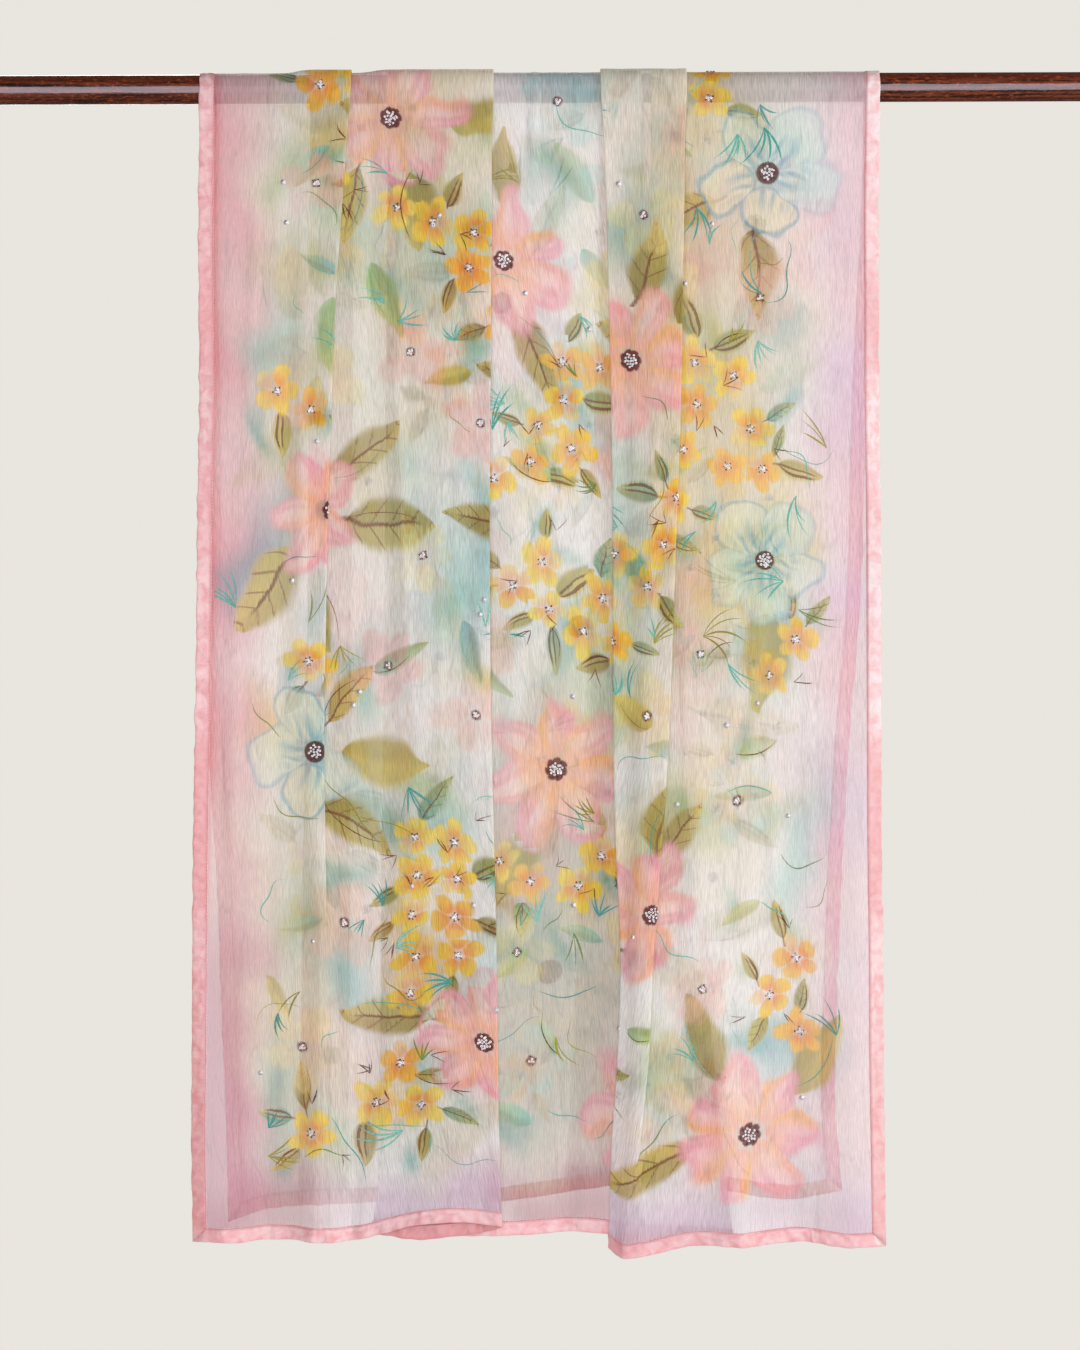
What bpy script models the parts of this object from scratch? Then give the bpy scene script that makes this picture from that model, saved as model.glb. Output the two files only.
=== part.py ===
"""A dupatta stole of crinkled chiffon with satin-bound edges, hung in pleats over a round rod.

Lengths are in metres, and the tables are in millimetres. +Z is up. The origin is on the rod's
axis, halfway along it. The front fall hangs on the -Y side and the back fall on the +Y side.
The stole is one length of cloth: its path across its width is a section with three pleats,
A, B and C, and that section is carried down the front, over the rod and down the back.
"""

import math
from collections import namedtuple

import bmesh
import bpy
import numpy as np

MM = 0.001

# Driving dimensions
ROD_RADIUS = 13.8 * MM
ROD_LENGTH = 1220.0 * MM
ROD_END_ROUNDING = 1.5 * MM
ROD_SIDES = 48
CLOTH_WALL = 1.0 * MM
BINDING_WALL = 1.3 * MM
BINDING_WIDTH = 12.5 * MM
SEAM_GAP = 0.3 * MM
CLOTH_RADIUS = ROD_RADIUS + 1.2 * MM  # from the rod's axis to the middle of the cloth's wall

# Pleats, in millimetres
LAYER_PITCH_AT_ROD = 1.7  # from one layer of a pleat to the next, where the rod presses them
LAYER_PITCH_AT_HEM = 3.4
PITCH_GROWS_OVER = 900.0  # of drop, from the rod's pitch to the hem's
RISE = 20.0  # a layer starts to climb onto the pleat beneath it this far before the tuck
RISE_END = 7.0  # and is on it this far before the tuck
OPEN_GAP = 12.0  # a pleat has opened into a soft roll where its tuck is this far past its fold
OPEN_RELIEF = 0.6  # the share of its height that the roll keeps
LEG_SHARE = 0.45  # the share of a short overlap that each of its two turns takes
TUCKS_CLEAR = 9.0  # pleat C's tucks lie side by side at this distance
TUCKS_MEET = 2.0  # and one on the other from this one

# How finely the cloth is divided
FRONT_ROWS = 15
OVER_ROD_ROWS = 10
BACK_ROWS = 10
TANGENT_STEP = 0.5  # millimetres up and down, to read the cloth's direction
TANGENT_ANGLE = 0.01  # radians to each side, for the same over the rod

# The section's sizes at several heights, each a distance from the middle of the rod. A fold is
# the outer edge of a pleat, and a tuck is the hidden edge behind it. Pleats A and B fold to the
# right, and C is a box pleat with a fold and a tuck on each side.
SECTION_COLUMNS = (
    "drop", "left", "a_fold", "a_tuck", "b_fold", "b_tuck",
    "c_left_tuck", "c_left_fold", "c_right_fold", "c_right_tuck", "right",
)
FRONT_SECTIONS = (
    (0, -321, -177, -216, -42, -143, 98, 59, 141, 107, 324),
    (50, -321, -181, -216, -44, -141, 100, 62, 139, 107, 323),
    (105, -322, -185, -217, -44, -138, 104, 64, 138, 106, 322),
    (200, -322, -192, -218, -45, -134, 110, 66, 136, 105, 322),
    (300, -322, -196, -218, -46, -131, 115, 68, 134, 104, 322),
    (400, -324, -200, -219, -47, -128, 121, 69, 130, 104, 323),
    (505, -325, -202, -219, -47, -125, 127, 69, 126, 104, 323),
    (620, -327, -204, -218, -46, -121, 134, 69, 121, 104, 323),
    (720, -329, -203, -211, -44, -126, 143, 71, 114, 102, 323),
    (820, -330, -202, -199, -42, -133, 152, 75, 106, 98, 324),
    (915, -331, -203, -193, -41, -141, 163, 72, 101, 95, 324),
    (1000, -332, -206, -188, -40, -149, 171, 66, 91, 93, 325),
    (1082, -331, -209, -185, -38, -159, 180, 63, 83, 100, 326),
)
BACK_SECTIONS = (
    (0, -321, -177, -216, -42, -143, 98, 59, 141, 107, 324),
    (105, -321, -177, -217, -43, -144, 98, 58, 141, 107, 322),
    (300, -319, -178, -219, -44, -146, 98, 53, 140, 107, 312),
    (490, -318, -180, -222, -45, -148, 97, 47, 139, 107, 306),
    (620, -316, -181, -224, -46, -150, 97, 42, 137, 107, 295),
    (740, -309, -182, -227, -47, -152, 96, 37, 135, 107, 288),
    (865, -305, -183, -229, -47, -153, 96, 32, 134, 107, 283),
    (980, -301, -184, -231, -48, -155, 95, 27, 133, 107, 281),
    (1042, -300, -185, -232, -48, -156, 95, 23, 133, 107, 286),
)

# How far below the rod's axis the binding's lower edge hangs: (x, drop), run by run
FRONT_HEM = {
    "left": (
        (-331, 1092), (-292, 1094), (-261, 1090), (-204, 1093), (-184, 1092),
        (-155, 1087), (-130, 1079), (-110, 1075), (-90, 1073), (-50, 1077), (-37, 1079),
    ),
    "b_return": ((-159, 1085), (-135, 1090), (-107, 1090), (-73, 1087), (-50, 1083), (-37, 1079)),
    "middle": ((-159, 1085), (-70, 1088), (-38, 1089), (1, 1086), (30, 1083), (64, 1087), (180, 1095)),
    "c_return": ((63, 1099), (180, 1095)),
    "right": (
        (63, 1099), (72, 1106), (95, 1106), (124, 1099), (150, 1095), (188, 1099),
        (220, 1096), (246, 1094), (279, 1099), (294, 1101), (326, 1097),
    ),
}
BACK_HEM = {
    "left": ((-300, 1078), (-270, 1068), (-235, 1063), (-150, 1060), (-48, 1060)),
    "b_return": ((-156, 1058), (-48, 1060)),
    "middle": ((-156, 1058), (-38, 1060), (-8, 1055), (10, 1053), (30, 1050), (60, 1045), (95, 1042)),
    "c_return": ((23, 1040), (95, 1042)),
    "right": ((23, 1040), (107, 1042), (178, 1050), (225, 1059), (255, 1057), (271, 1053), (286, 1046)),
}

# Long soft ridges and troughs (a negative height) that grow towards the hem
Ridge = namedtuple("Ridge", "x_at_rod x_at_hem half_width height starts_at_drop")
FRONT_RIDGES = (
    Ridge(-300, -296, 42, 6.0, 420),
    Ridge(-262, -258, 26, -3.0, 600),
    Ridge(-214, -206, 40, 6.5, 380),
    Ridge(-110, -100, 44, 4.0, 520),
    Ridge(20, 12, 46, -3.0, 300),
    Ridge(92, 96, 48, 7.0, 520),
    Ridge(168, 190, 34, 5.0, 620),
    Ridge(236, 240, 30, -3.0, 560),
    Ridge(300, 294, 38, 6.5, 460),
)
BACK_RIDGES = (
    Ridge(-270, -262, 46, 6.0, 420),
    Ridge(-120, -112, 50, 5.0, 500),
    Ridge(40, 30, 44, 4.0, 420),
    Ridge(214, 214, 46, 7.0, 460),
)

# The colour, roughness and metallic value of each material
CHIFFON = ("crinkled silk chiffon", (0.80, 0.79, 0.68), 0.85, 0.0)
SATIN = ("pink satin", (0.85, 0.46, 0.48), 0.38, 0.0)
LACQUERED_WOOD = ("dark lacquered wood", (0.075, 0.018, 0.010), 0.22, 0.0)


def material(finish):
    """The Principled material of a finish, made once."""
    name, colour, roughness, metallic = finish
    made = bpy.data.materials.get(name)
    if made is None:
        made = bpy.data.materials.new(name)
        made.use_nodes = True
        shader = made.node_tree.nodes["Principled BSDF"]
        shader.inputs["Base Color"].default_value = (*colour, 1.0)
        shader.inputs["Roughness"].default_value = roughness
        shader.inputs["Metallic"].default_value = metallic
    return made


def smooth_step(value):
    """0 below 0, 1 above 1, and a smooth rise between."""
    t = np.clip(value, 0.0, 1.0)
    return t * t * (3.0 - 2.0 * t)


def smooth_through(where, xs, ys):
    """A smooth curve through the points (xs, ys), read at one place."""
    xs = np.asarray(xs, float)
    ys = np.asarray(ys, float)
    slopes = np.gradient(ys, xs)
    where = min(max(where, xs[0]), xs[-1])
    i = min(int(np.searchsorted(xs, where, side="right")) - 1, len(xs) - 2)
    step = xs[i + 1] - xs[i]
    t = (where - xs[i]) / step
    ends = (1 + 2 * t) * (1 - t) ** 2 * ys[i] + t * t * (3 - 2 * t) * ys[i + 1]
    return ends + step * t * (1 - t) * ((1 - t) * slopes[i] - t * slopes[i + 1])


def sizes_at(sections, drop):
    """The section's named sizes at one height."""
    columns = list(zip(*sections))
    return {
        name: smooth_through(drop, columns[0], column)
        for name, column in zip(SECTION_COLUMNS, columns)
    }


class Section:
    """Control points of the cloth's path at one height: run, x, depth from the rod, and bends."""

    def __init__(self):
        self.runs = []
        self.points = []
        self.bends = []

    def add(self, run, x, depth, bend=False):
        self.runs.append(run)
        self.points.append((x, depth))
        self.bends.append(bend)

    def line(self, run, start, end, count):
        """Evenly spaced points strictly between two places."""
        for k in range(1, count + 1):
            x, depth = np.array(start) + (np.array(end) - np.array(start)) * k / (count + 1)
            self.add(run, x, depth)

    def turn(self, run_in, run_out, x, leg, depth_in, depth_out):
        """A fold back on itself at x. The leg is positive where the cloth arrives rightwards."""
        self.add(run_in, x - leg, depth_in)
        self.add(run_in, x, depth_in, bend=True)
        self.add(run_out, x, depth_out, bend=True)
        self.add(run_out, x - leg, depth_out)

    def knife_pleat(self, runs, fold, tuck, arrives_at, base, pitch, points_on_layer):
        """A layer that climbs over its own tuck, folds at the right and comes back beneath.

        As its overlap runs out, the layer that comes back tilts, and the pleat opens to a roll.
        """
        run_over, run_return, run_after = runs
        overlap = fold - tuck
        opened = smooth_step(-overlap / OPEN_GAP)
        top = base + 2 * pitch * (1 - opened * (1 - OPEN_RELIEF))
        middle = (top + base) / 2
        tilt = (top - base) / 4 * min(max(1 - overlap / (2 * pitch), 0.0), 1.0)
        leg = min(pitch, LEG_SHARE * overlap)
        climbs_to = min(fold, tuck)
        self.add(run_over, max(climbs_to - RISE, self.points[-1][0] + pitch), arrives_at)
        self.add(run_over, climbs_to - RISE_END, top)
        self.line(run_over, (climbs_to - RISE_END, top), (fold - pitch, top), points_on_layer)
        self.add(run_over, fold - pitch, top)
        self.add(run_over, fold, top, bend=True)
        returning = [fold, fold - leg]
        for k in range(1, points_on_layer + 1):
            returning.append(fold - leg - (overlap - 2 * leg) * k / (points_on_layer + 1))
        returning += [tuck + leg, tuck]
        for k, x in enumerate(returning):
            depth = middle + tilt * (1 - 2 * k / (len(returning) - 1))
            self.add(run_return, x, depth, bend=k in (0, len(returning) - 1))
        self.add(run_after, tuck, base, bend=True)
        self.add(run_after, tuck + pitch, base)


def layer_pitch(drop):
    """How far apart a pleat's layers lie at one height."""
    grown = smooth_step(drop / PITCH_GROWS_OVER)
    return LAYER_PITCH_AT_ROD + (LAYER_PITCH_AT_HEM - LAYER_PITCH_AT_ROD) * grown


def section_at(sections, drop):
    """The cloth's section at one height, in millimetres, from the left edge to the right one."""
    s = sizes_at(sections, drop)
    pitch = layer_pitch(drop)
    edge = (BINDING_WIDTH + SEAM_GAP) / MM
    left = s["left"] + edge
    right = s["right"] - edge
    # Where pleat C's two tucks would meet, the right half rides over the left tuck.
    tucks_apart = s["c_right_tuck"] - s["c_left_tuck"]
    base = 2 * pitch * smooth_step((TUCKS_CLEAR - tucks_apart) / (TUCKS_CLEAR - TUCKS_MEET))

    path = Section()
    path.add("left", left, 0.0)
    path.line("left", (left, 0.0), (s["a_tuck"] - RISE, 0.0), 3)
    path.knife_pleat(("left", "left", "left"), s["a_fold"], s["a_tuck"], 0.0, 0.0, pitch, 1)
    path.knife_pleat(("left", "b_return", "middle"), s["b_fold"], s["b_tuck"], 0.0, 0.0, pitch, 3)
    path.line("middle", (s["b_tuck"] + pitch, 0.0), (s["c_left_tuck"] - pitch, 0.0), 6)
    path.turn("middle", "c_return", s["c_left_tuck"], pitch, 0.0, pitch)
    path.line("c_return", (s["c_left_tuck"] - pitch, pitch), (s["c_left_fold"] + pitch, pitch), 2)
    path.turn("c_return", "right", s["c_left_fold"], -pitch, pitch, 2 * pitch)
    right_runs = ("right", "right", "right")
    path.knife_pleat(right_runs, s["c_right_fold"], s["c_right_tuck"], 2 * pitch, base, pitch, 1)
    clear_of_tuck = max(s["c_left_tuck"], s["c_right_tuck"] + 2 * pitch) + 2.0
    path.line("right", (s["c_right_tuck"] + pitch, base), (clear_of_tuck, base), 1)
    path.add("right", clear_of_tuck, base)
    path.add("right", clear_of_tuck + RISE_END, base)
    path.add("right", clear_of_tuck + RISE, 0.0)
    path.line("right", (clear_of_tuck + RISE, 0.0), (right, 0.0), 4)
    path.add("right", right, 0.0)
    return path


def spline(controls, bends):
    """Points along a quadratic B-spline: one for each control, two at a bend."""
    controls = np.asarray(controls, float)
    last = len(controls) - 1
    points = []
    for i in range(1, last):
        start = controls[0] if i == 1 else (controls[i - 1] + controls[i]) / 2
        end = controls[last] if i == last - 1 else (controls[i] + controls[i + 1]) / 2
        steps = [0.0, 0.5] if bends[i] else [0.0]
        if i == last - 1:
            steps.append(1.0)
        for t in steps:
            points.append((1 - t) ** 2 * start + 2 * t * (1 - t) * controls[i] + t * t * end)
    return np.array(points)


def hem_drops(path, hem):
    """The chiffon's length below the axis at each control point of the hem's section."""
    binding = (BINDING_WIDTH + SEAM_GAP) / MM
    drops = []
    for run, (x, _) in zip(path.runs, path.points):
        xs, ys = zip(*hem[run])
        drops.append(smooth_through(x, xs, ys) - binding)
    return drops


def ridge_depth(ridges, x, drop, hem_drop):
    """How far the soft ridges push the cloth out at a place."""
    depth = np.zeros_like(x)
    down = min(max(drop / hem_drop, 0.0), 1.0)
    for ridge in ridges:
        middle = ridge.x_at_rod + (ridge.x_at_hem - ridge.x_at_rod) * down
        across = np.clip((x - middle) / ridge.half_width, -1.0, 1.0)
        grown = smooth_step((drop - ridge.starts_at_drop) / (hem_drop - ridge.starts_at_drop))
        depth += ridge.height * grown * 0.5 * (1 + np.cos(math.pi * across))
    return depth


class Fall:
    """One side of the stole below the rod's axis."""

    def __init__(self, sections, hem, ridges, side):
        self.sections = sections
        self.ridges = ridges
        self.side = side  # -1 for the front, +1 for the back
        self.hem_drop = sections[-1][0]
        path = section_at(sections, self.hem_drop)
        drops = hem_drops(path, hem)
        with_drops = [(x, depth, drop) for (x, depth), drop in zip(path.points, drops)]
        self.column_drops = spline(with_drops, path.bends)[:, 2]

    def across(self, drop):
        """x and depth of each column at a nominal height."""
        path = section_at(self.sections, drop)
        x, depth = spline(path.points, path.bends).T
        return x, depth + ridge_depth(self.ridges, x, drop, self.hem_drop)

    def row(self, drop):
        """The columns' places at a nominal height, each on its own way down to the hem."""
        x, depth = self.across(drop)
        fall = self.column_drops * drop / self.hem_drop
        out = CLOTH_RADIUS / MM + depth
        return np.stack([x, self.side * out, -fall], axis=1) * MM


FRONT = Fall(FRONT_SECTIONS, FRONT_HEM, FRONT_RIDGES, -1)
BACK = Fall(BACK_SECTIONS, BACK_HEM, BACK_RIDGES, 1)


def row_over_rod(angle):
    """The columns at an angle from the top of the rod, negative towards the front."""
    x, depth = FRONT.across(0.0)
    out = CLOTH_RADIUS / MM + depth
    return np.stack([x, out * math.sin(angle), out * math.cos(angle)], axis=1) * MM


def cloth_rows():
    """(row of points, direction along the cloth from front hem to back hem) for each stretch."""
    half_gap = SEAM_GAP / MM / 2
    half_turn = math.pi / 2 - half_gap / (CLOTH_RADIUS / MM)
    stretches = {"front": [], "over_rod": [], "back": []}
    for k in range(FRONT_ROWS + 1):
        drop = FRONT.hem_drop + (half_gap - FRONT.hem_drop) * k / FRONT_ROWS
        along = FRONT.row(max(drop - TANGENT_STEP, 0.0)) - FRONT.row(drop + TANGENT_STEP)
        stretches["front"].append((FRONT.row(drop), along))
    for k in range(OVER_ROD_ROWS + 1):
        angle = -half_turn + 2 * half_turn * k / OVER_ROD_ROWS
        along = row_over_rod(angle + TANGENT_ANGLE) - row_over_rod(angle - TANGENT_ANGLE)
        stretches["over_rod"].append((row_over_rod(angle), along))
    for k in range(BACK_ROWS + 1):
        drop = half_gap + (BACK.hem_drop - half_gap) * k / BACK_ROWS
        along = BACK.row(drop + TANGENT_STEP) - BACK.row(max(drop - TANGENT_STEP, 0.0))
        stretches["back"].append((BACK.row(drop), along))
    return stretches


def unit(vectors):
    return vectors / np.linalg.norm(vectors, axis=-1, keepdims=True)


class Grid:
    """The middle surface of a stretch of cloth, with its directions, row by row."""

    def __init__(self, rows):
        self.points = np.array([points for points, _ in rows])
        self.along = unit(np.array([along for _, along in rows]))
        across = np.gradient(self.points, axis=1)
        self.across = unit(across)
        self.normals = unit(np.cross(self.across, self.along))


def shell(name, middle, normals, wall, finish):
    """A closed wall of even thickness on a grid of points, as one object."""
    rows, columns = middle.shape[:2]
    outer = middle + normals * wall / 2
    inner = middle - normals * wall / 2
    points = np.concatenate([outer.reshape(-1, 3), inner.reshape(-1, 3)])
    number = np.arange(rows * columns).reshape(rows, columns)
    behind = number + rows * columns
    faces = []

    def quad(a, b, c, d):
        faces.append((a, b, c))
        faces.append((a, c, d))

    for r in range(rows - 1):
        for c in range(columns - 1):
            quad(number[r, c], number[r, c + 1], number[r + 1, c + 1], number[r + 1, c])
    # The inner side repeats the same triangles, turned round, so that the wall stays even.
    faces += [(c + rows * columns, b + rows * columns, a + rows * columns) for a, b, c in faces]
    rim = [*number[0], *number[1:, -1], *number[-1, -2::-1], *number[-2:0:-1, 0]]
    rim_behind = [behind.flat[k] for k in rim]
    for k in range(len(rim)):
        following = (k + 1) % len(rim)
        quad(rim[following], rim[k], rim_behind[k], rim_behind[following])

    mesh = bpy.data.meshes.new(name)
    mesh.from_pydata(points.tolist(), [], [tuple(int(v) for v in face) for face in faces])
    mesh.update()
    solid = bmesh.new()
    solid.from_mesh(mesh)
    if solid.calc_volume(signed=True) < 0:
        bmesh.ops.reverse_faces(solid, faces=solid.faces)
    solid.to_mesh(mesh)
    solid.free()
    mesh.materials.append(material(finish))
    made = bpy.data.objects.new(name, mesh)
    bpy.context.scene.collection.objects.link(made)
    return made


def side_binding(name, grid, column, outward, hem_row=None, hem_outward=1):
    """The satin strip beyond a long edge. At a hem its end is cut to a mitre."""
    edge = grid.points[:, column]
    away = grid.across[:, column] * outward
    normals = grid.normals[:, column]
    near, far = SEAM_GAP, SEAM_GAP + BINDING_WIDTH
    strip = np.stack([edge + away * near, edge + away * far], axis=1)
    if hem_row is not None:
        down = grid.along[hem_row, column] * hem_outward
        strip[hem_row, 0] += down * (near - mitre_back())
        strip[hem_row, 1] += down * (far - mitre_back())
    strip_normals = np.stack([normals, normals], axis=1)
    return shell(name, strip, strip_normals, BINDING_WALL, SATIN)


def mitre_back():
    """How far each side of a mitred corner stands back, to leave the seam's gap between them."""
    return SEAM_GAP / math.sqrt(2)


def hem_binding(name, grid, row, outward):
    """The satin strip below a hem, following every fold, with mitred ends."""
    edge = grid.points[row]
    down = grid.along[row] * outward
    near, far = SEAM_GAP, SEAM_GAP + BINDING_WIDTH
    strip = np.stack([edge + down * near, edge + down * far], axis=0)
    for column, sign in ((0, -1), (-1, 1)):
        away = grid.across[row, column] * sign
        strip[0, column] += away * (near - mitre_back())
        strip[1, column] += away * (far - mitre_back())
    normals = np.stack([grid.normals[row], grid.normals[row]], axis=0)
    return shell(name, strip, normals, BINDING_WALL, SATIN)


def rod():
    """The round rod, with its ends just rounded over."""
    solid = bmesh.new()
    bmesh.ops.create_cone(
        solid,
        cap_ends=True,
        segments=ROD_SIDES,
        radius1=ROD_RADIUS,
        radius2=ROD_RADIUS,
        depth=ROD_LENGTH,
    )
    rims = [edge for edge in solid.edges if abs(edge.verts[0].co.z - edge.verts[1].co.z) < MM]
    bmesh.ops.bevel(solid, geom=rims, offset=ROD_END_ROUNDING, segments=2, affect="EDGES", profile=0.5)
    mesh = bpy.data.meshes.new("rod")
    solid.to_mesh(mesh)
    solid.free()
    for face in mesh.polygons:
        face.use_smooth = abs(face.normal.z) < 0.5
    mesh.materials.append(material(LACQUERED_WOOD))
    made = bpy.data.objects.new("rod", mesh)
    made.rotation_euler = (0.0, math.pi / 2, 0.0)
    bpy.context.scene.collection.objects.link(made)
    return made


def stole():
    """The chiffon's three stretches and the binding round all of its edges."""
    grids = {name: Grid(rows) for name, rows in cloth_rows().items()}
    for name, grid in grids.items():
        shell(f"chiffon_{name}", grid.points, grid.normals, CLOTH_WALL, CHIFFON)
        hem_row, hem_outward = {"front": (0, -1), "back": (-1, 1)}.get(name, (None, 1))
        side_binding(f"binding_left_{name}", grid, 0, -1, hem_row, hem_outward)
        side_binding(f"binding_right_{name}", grid, -1, 1, hem_row, hem_outward)
    hem_binding("binding_hem_front", grids["front"], 0, -1)
    hem_binding("binding_hem_back", grids["back"], -1, 1)


for old in list(bpy.data.objects):
    bpy.data.objects.remove(old, do_unlink=True)
rod()
stole()
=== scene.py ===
import functools
import math
import random

import bmesh
import bpy
import numpy as np
from mathutils import Matrix, Vector
from mathutils.bvhtree import BVHTree


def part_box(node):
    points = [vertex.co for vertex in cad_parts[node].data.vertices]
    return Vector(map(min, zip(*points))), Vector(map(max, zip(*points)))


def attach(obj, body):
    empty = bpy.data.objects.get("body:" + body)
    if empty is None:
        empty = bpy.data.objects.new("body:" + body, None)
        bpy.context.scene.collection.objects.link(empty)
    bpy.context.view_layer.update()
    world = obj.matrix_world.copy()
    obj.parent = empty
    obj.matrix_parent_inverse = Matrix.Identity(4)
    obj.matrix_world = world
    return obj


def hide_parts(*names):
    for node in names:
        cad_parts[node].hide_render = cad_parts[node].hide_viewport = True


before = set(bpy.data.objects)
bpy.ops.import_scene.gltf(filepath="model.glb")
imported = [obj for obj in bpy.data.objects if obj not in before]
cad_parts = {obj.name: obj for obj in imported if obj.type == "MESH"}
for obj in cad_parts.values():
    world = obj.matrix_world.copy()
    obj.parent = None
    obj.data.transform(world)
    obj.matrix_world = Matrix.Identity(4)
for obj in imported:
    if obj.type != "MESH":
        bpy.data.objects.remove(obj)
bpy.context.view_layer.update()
scene = bpy.context.scene
mm = 0.001
print("stole: the packed solids are in")


# small helpers

def hexColour(code):
    parts = [int(code[i:i + 2], 16) / 255 for i in (1, 3, 5)]
    return [p / 12.92 if p <= 0.04045 else ((p + 0.055) / 1.055) ** 2.4 for p in parts]


def addNode(tree, kind, inputs=(), out=0, **settings):
    node = tree.nodes.new(kind)
    for name, value in settings.items():
        setattr(node, name, value)
    named = inputs.items() if isinstance(inputs, dict) else enumerate(inputs)
    for key, value in named:
        if isinstance(value, bpy.types.NodeSocket):
            tree.links.new(value, node.inputs[key])
        elif isinstance(value, str) and value.startswith("#"):
            node.inputs[key].default_value = (*hexColour(value), 1.0)
        elif value is not None:
            node.inputs[key].default_value = value
    return node.outputs[out] if node.outputs else node


softly = {"interpolation_type": "SMOOTHSTEP"}  # a range that eases in and out
blended = {"out": 2, "data_type": "RGBA"}  # a mix of two colours


def newMaterial(name):
    made = bpy.data.materials.new(name)
    made.use_nodes = True
    made.node_tree.nodes.clear()
    return made, made.node_tree


def smoothStep(value):
    t = np.clip(value, 0.0, 1.0)
    return t * t * (3.0 - 2.0 * t)


def smoothThrough(where, xs, ys):
    # a smooth curve through the points, read at one place
    xs, ys = np.asarray(xs, float), np.asarray(ys, float)
    slopes = np.gradient(ys, xs)
    where = min(max(where, xs[0]), xs[-1])
    i = min(int(np.searchsorted(xs, where, side="right")) - 1, len(xs) - 2)
    step = xs[i + 1] - xs[i]
    t = (where - xs[i]) / step
    ends = (1 + 2 * t) * (1 - t) ** 2 * ys[i] + t * t * (3 - 2 * t) * ys[i + 1]
    return ends + step * t * (1 - t) * ((1 - t) * slopes[i] - t * slopes[i + 1])


def unit(vectors):
    return vectors / np.linalg.norm(vectors, axis=-1, keepdims=True)


def meshPiece(name, points, faces, finish, smooth=True):
    mesh = bpy.data.meshes.new(name)
    mesh.from_pydata(np.asarray(points).tolist(), [], np.asarray(faces).tolist())
    mesh.polygons.foreach_set("use_smooth", [smooth] * len(mesh.polygons))
    if finish:
        mesh.materials.append(finish)
    mesh.update()
    piece = bpy.data.objects.new(name, mesh)
    scene.collection.objects.link(piece)
    return piece


def setAttribute(mesh, name, kind, values, domain="POINT"):
    field = {"FLOAT": "value", "FLOAT_VECTOR": "vector", "FLOAT_COLOR": "color"}[kind]
    mesh.attributes.new(name, kind, domain).data.foreach_set(field, np.ravel(values))


# the hang of the cloth: the same sections as the solids, in millimetres

rodLow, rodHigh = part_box("rod")
rodRadius = (rodHigh.z - rodLow.z) / 2
clothRadius = rodRadius + 1.2 * mm  # from the rod's axis to the cloth

pleats = {
    "pitchAtRod": 1.7,  # from one layer to the next
    "pitchAtHem": 3.4,
    "pitchGrowsOver": 900.0,
    "rise": 20.0,  # where a layer starts to climb, before the tuck
    "riseEnd": 7.0,
    "openGap": 12.0,  # tuck past fold by this much: the pleat is a soft roll
    "openRelief": 0.6,
    "legShare": 0.45,
    "tucksClear": 9.0,
    "tucksMeet": 2.0,
    "clearBy": 2.0,  # the last layer lies flat from this far past the tucks
    "bindingEdge": 12.8,  # the binding and its seam, beyond the chiffon
}
sectionColumns = (
    "drop", "left", "aFold", "aTuck", "bFold", "bTuck",
    "cLeftTuck", "cLeftFold", "cRightFold", "cRightTuck", "right",
)
frontSections = (
    (0, -321, -177, -216, -42, -143, 98, 59, 141, 107, 324),
    (50, -321, -181, -216, -44, -141, 100, 62, 139, 107, 323),
    (105, -322, -185, -217, -44, -138, 104, 64, 138, 106, 322),
    (200, -322, -192, -218, -45, -134, 110, 66, 136, 105, 322),
    (300, -322, -196, -218, -46, -131, 115, 68, 134, 104, 322),
    (400, -324, -200, -219, -47, -128, 121, 69, 130, 104, 323),
    (505, -325, -202, -219, -47, -125, 127, 69, 126, 104, 323),
    (620, -327, -204, -218, -46, -121, 134, 69, 121, 104, 323),
    (720, -329, -203, -211, -44, -126, 143, 71, 114, 102, 323),
    (820, -330, -202, -199, -42, -133, 152, 75, 106, 98, 324),
    (915, -331, -203, -193, -41, -141, 163, 72, 101, 95, 324),
    (1000, -332, -206, -188, -40, -149, 171, 66, 91, 93, 325),
    (1082, -331, -209, -185, -38, -159, 180, 63, 83, 100, 326),
)
backSections = (
    (0, -321, -177, -216, -42, -143, 98, 59, 141, 107, 324),
    (105, -321, -177, -217, -43, -144, 98, 58, 141, 107, 322),
    (300, -319, -178, -219, -44, -146, 98, 53, 140, 107, 312),
    (490, -318, -180, -222, -45, -148, 97, 47, 139, 107, 306),
    (620, -316, -181, -224, -46, -150, 97, 42, 137, 107, 295),
    (740, -309, -182, -227, -47, -152, 96, 37, 135, 107, 288),
    (865, -305, -183, -229, -47, -153, 96, 32, 134, 107, 283),
    (980, -301, -184, -231, -48, -155, 95, 27, 133, 107, 281),
    (1042, -300, -185, -232, -48, -156, 95, 23, 133, 107, 286),
)
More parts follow.
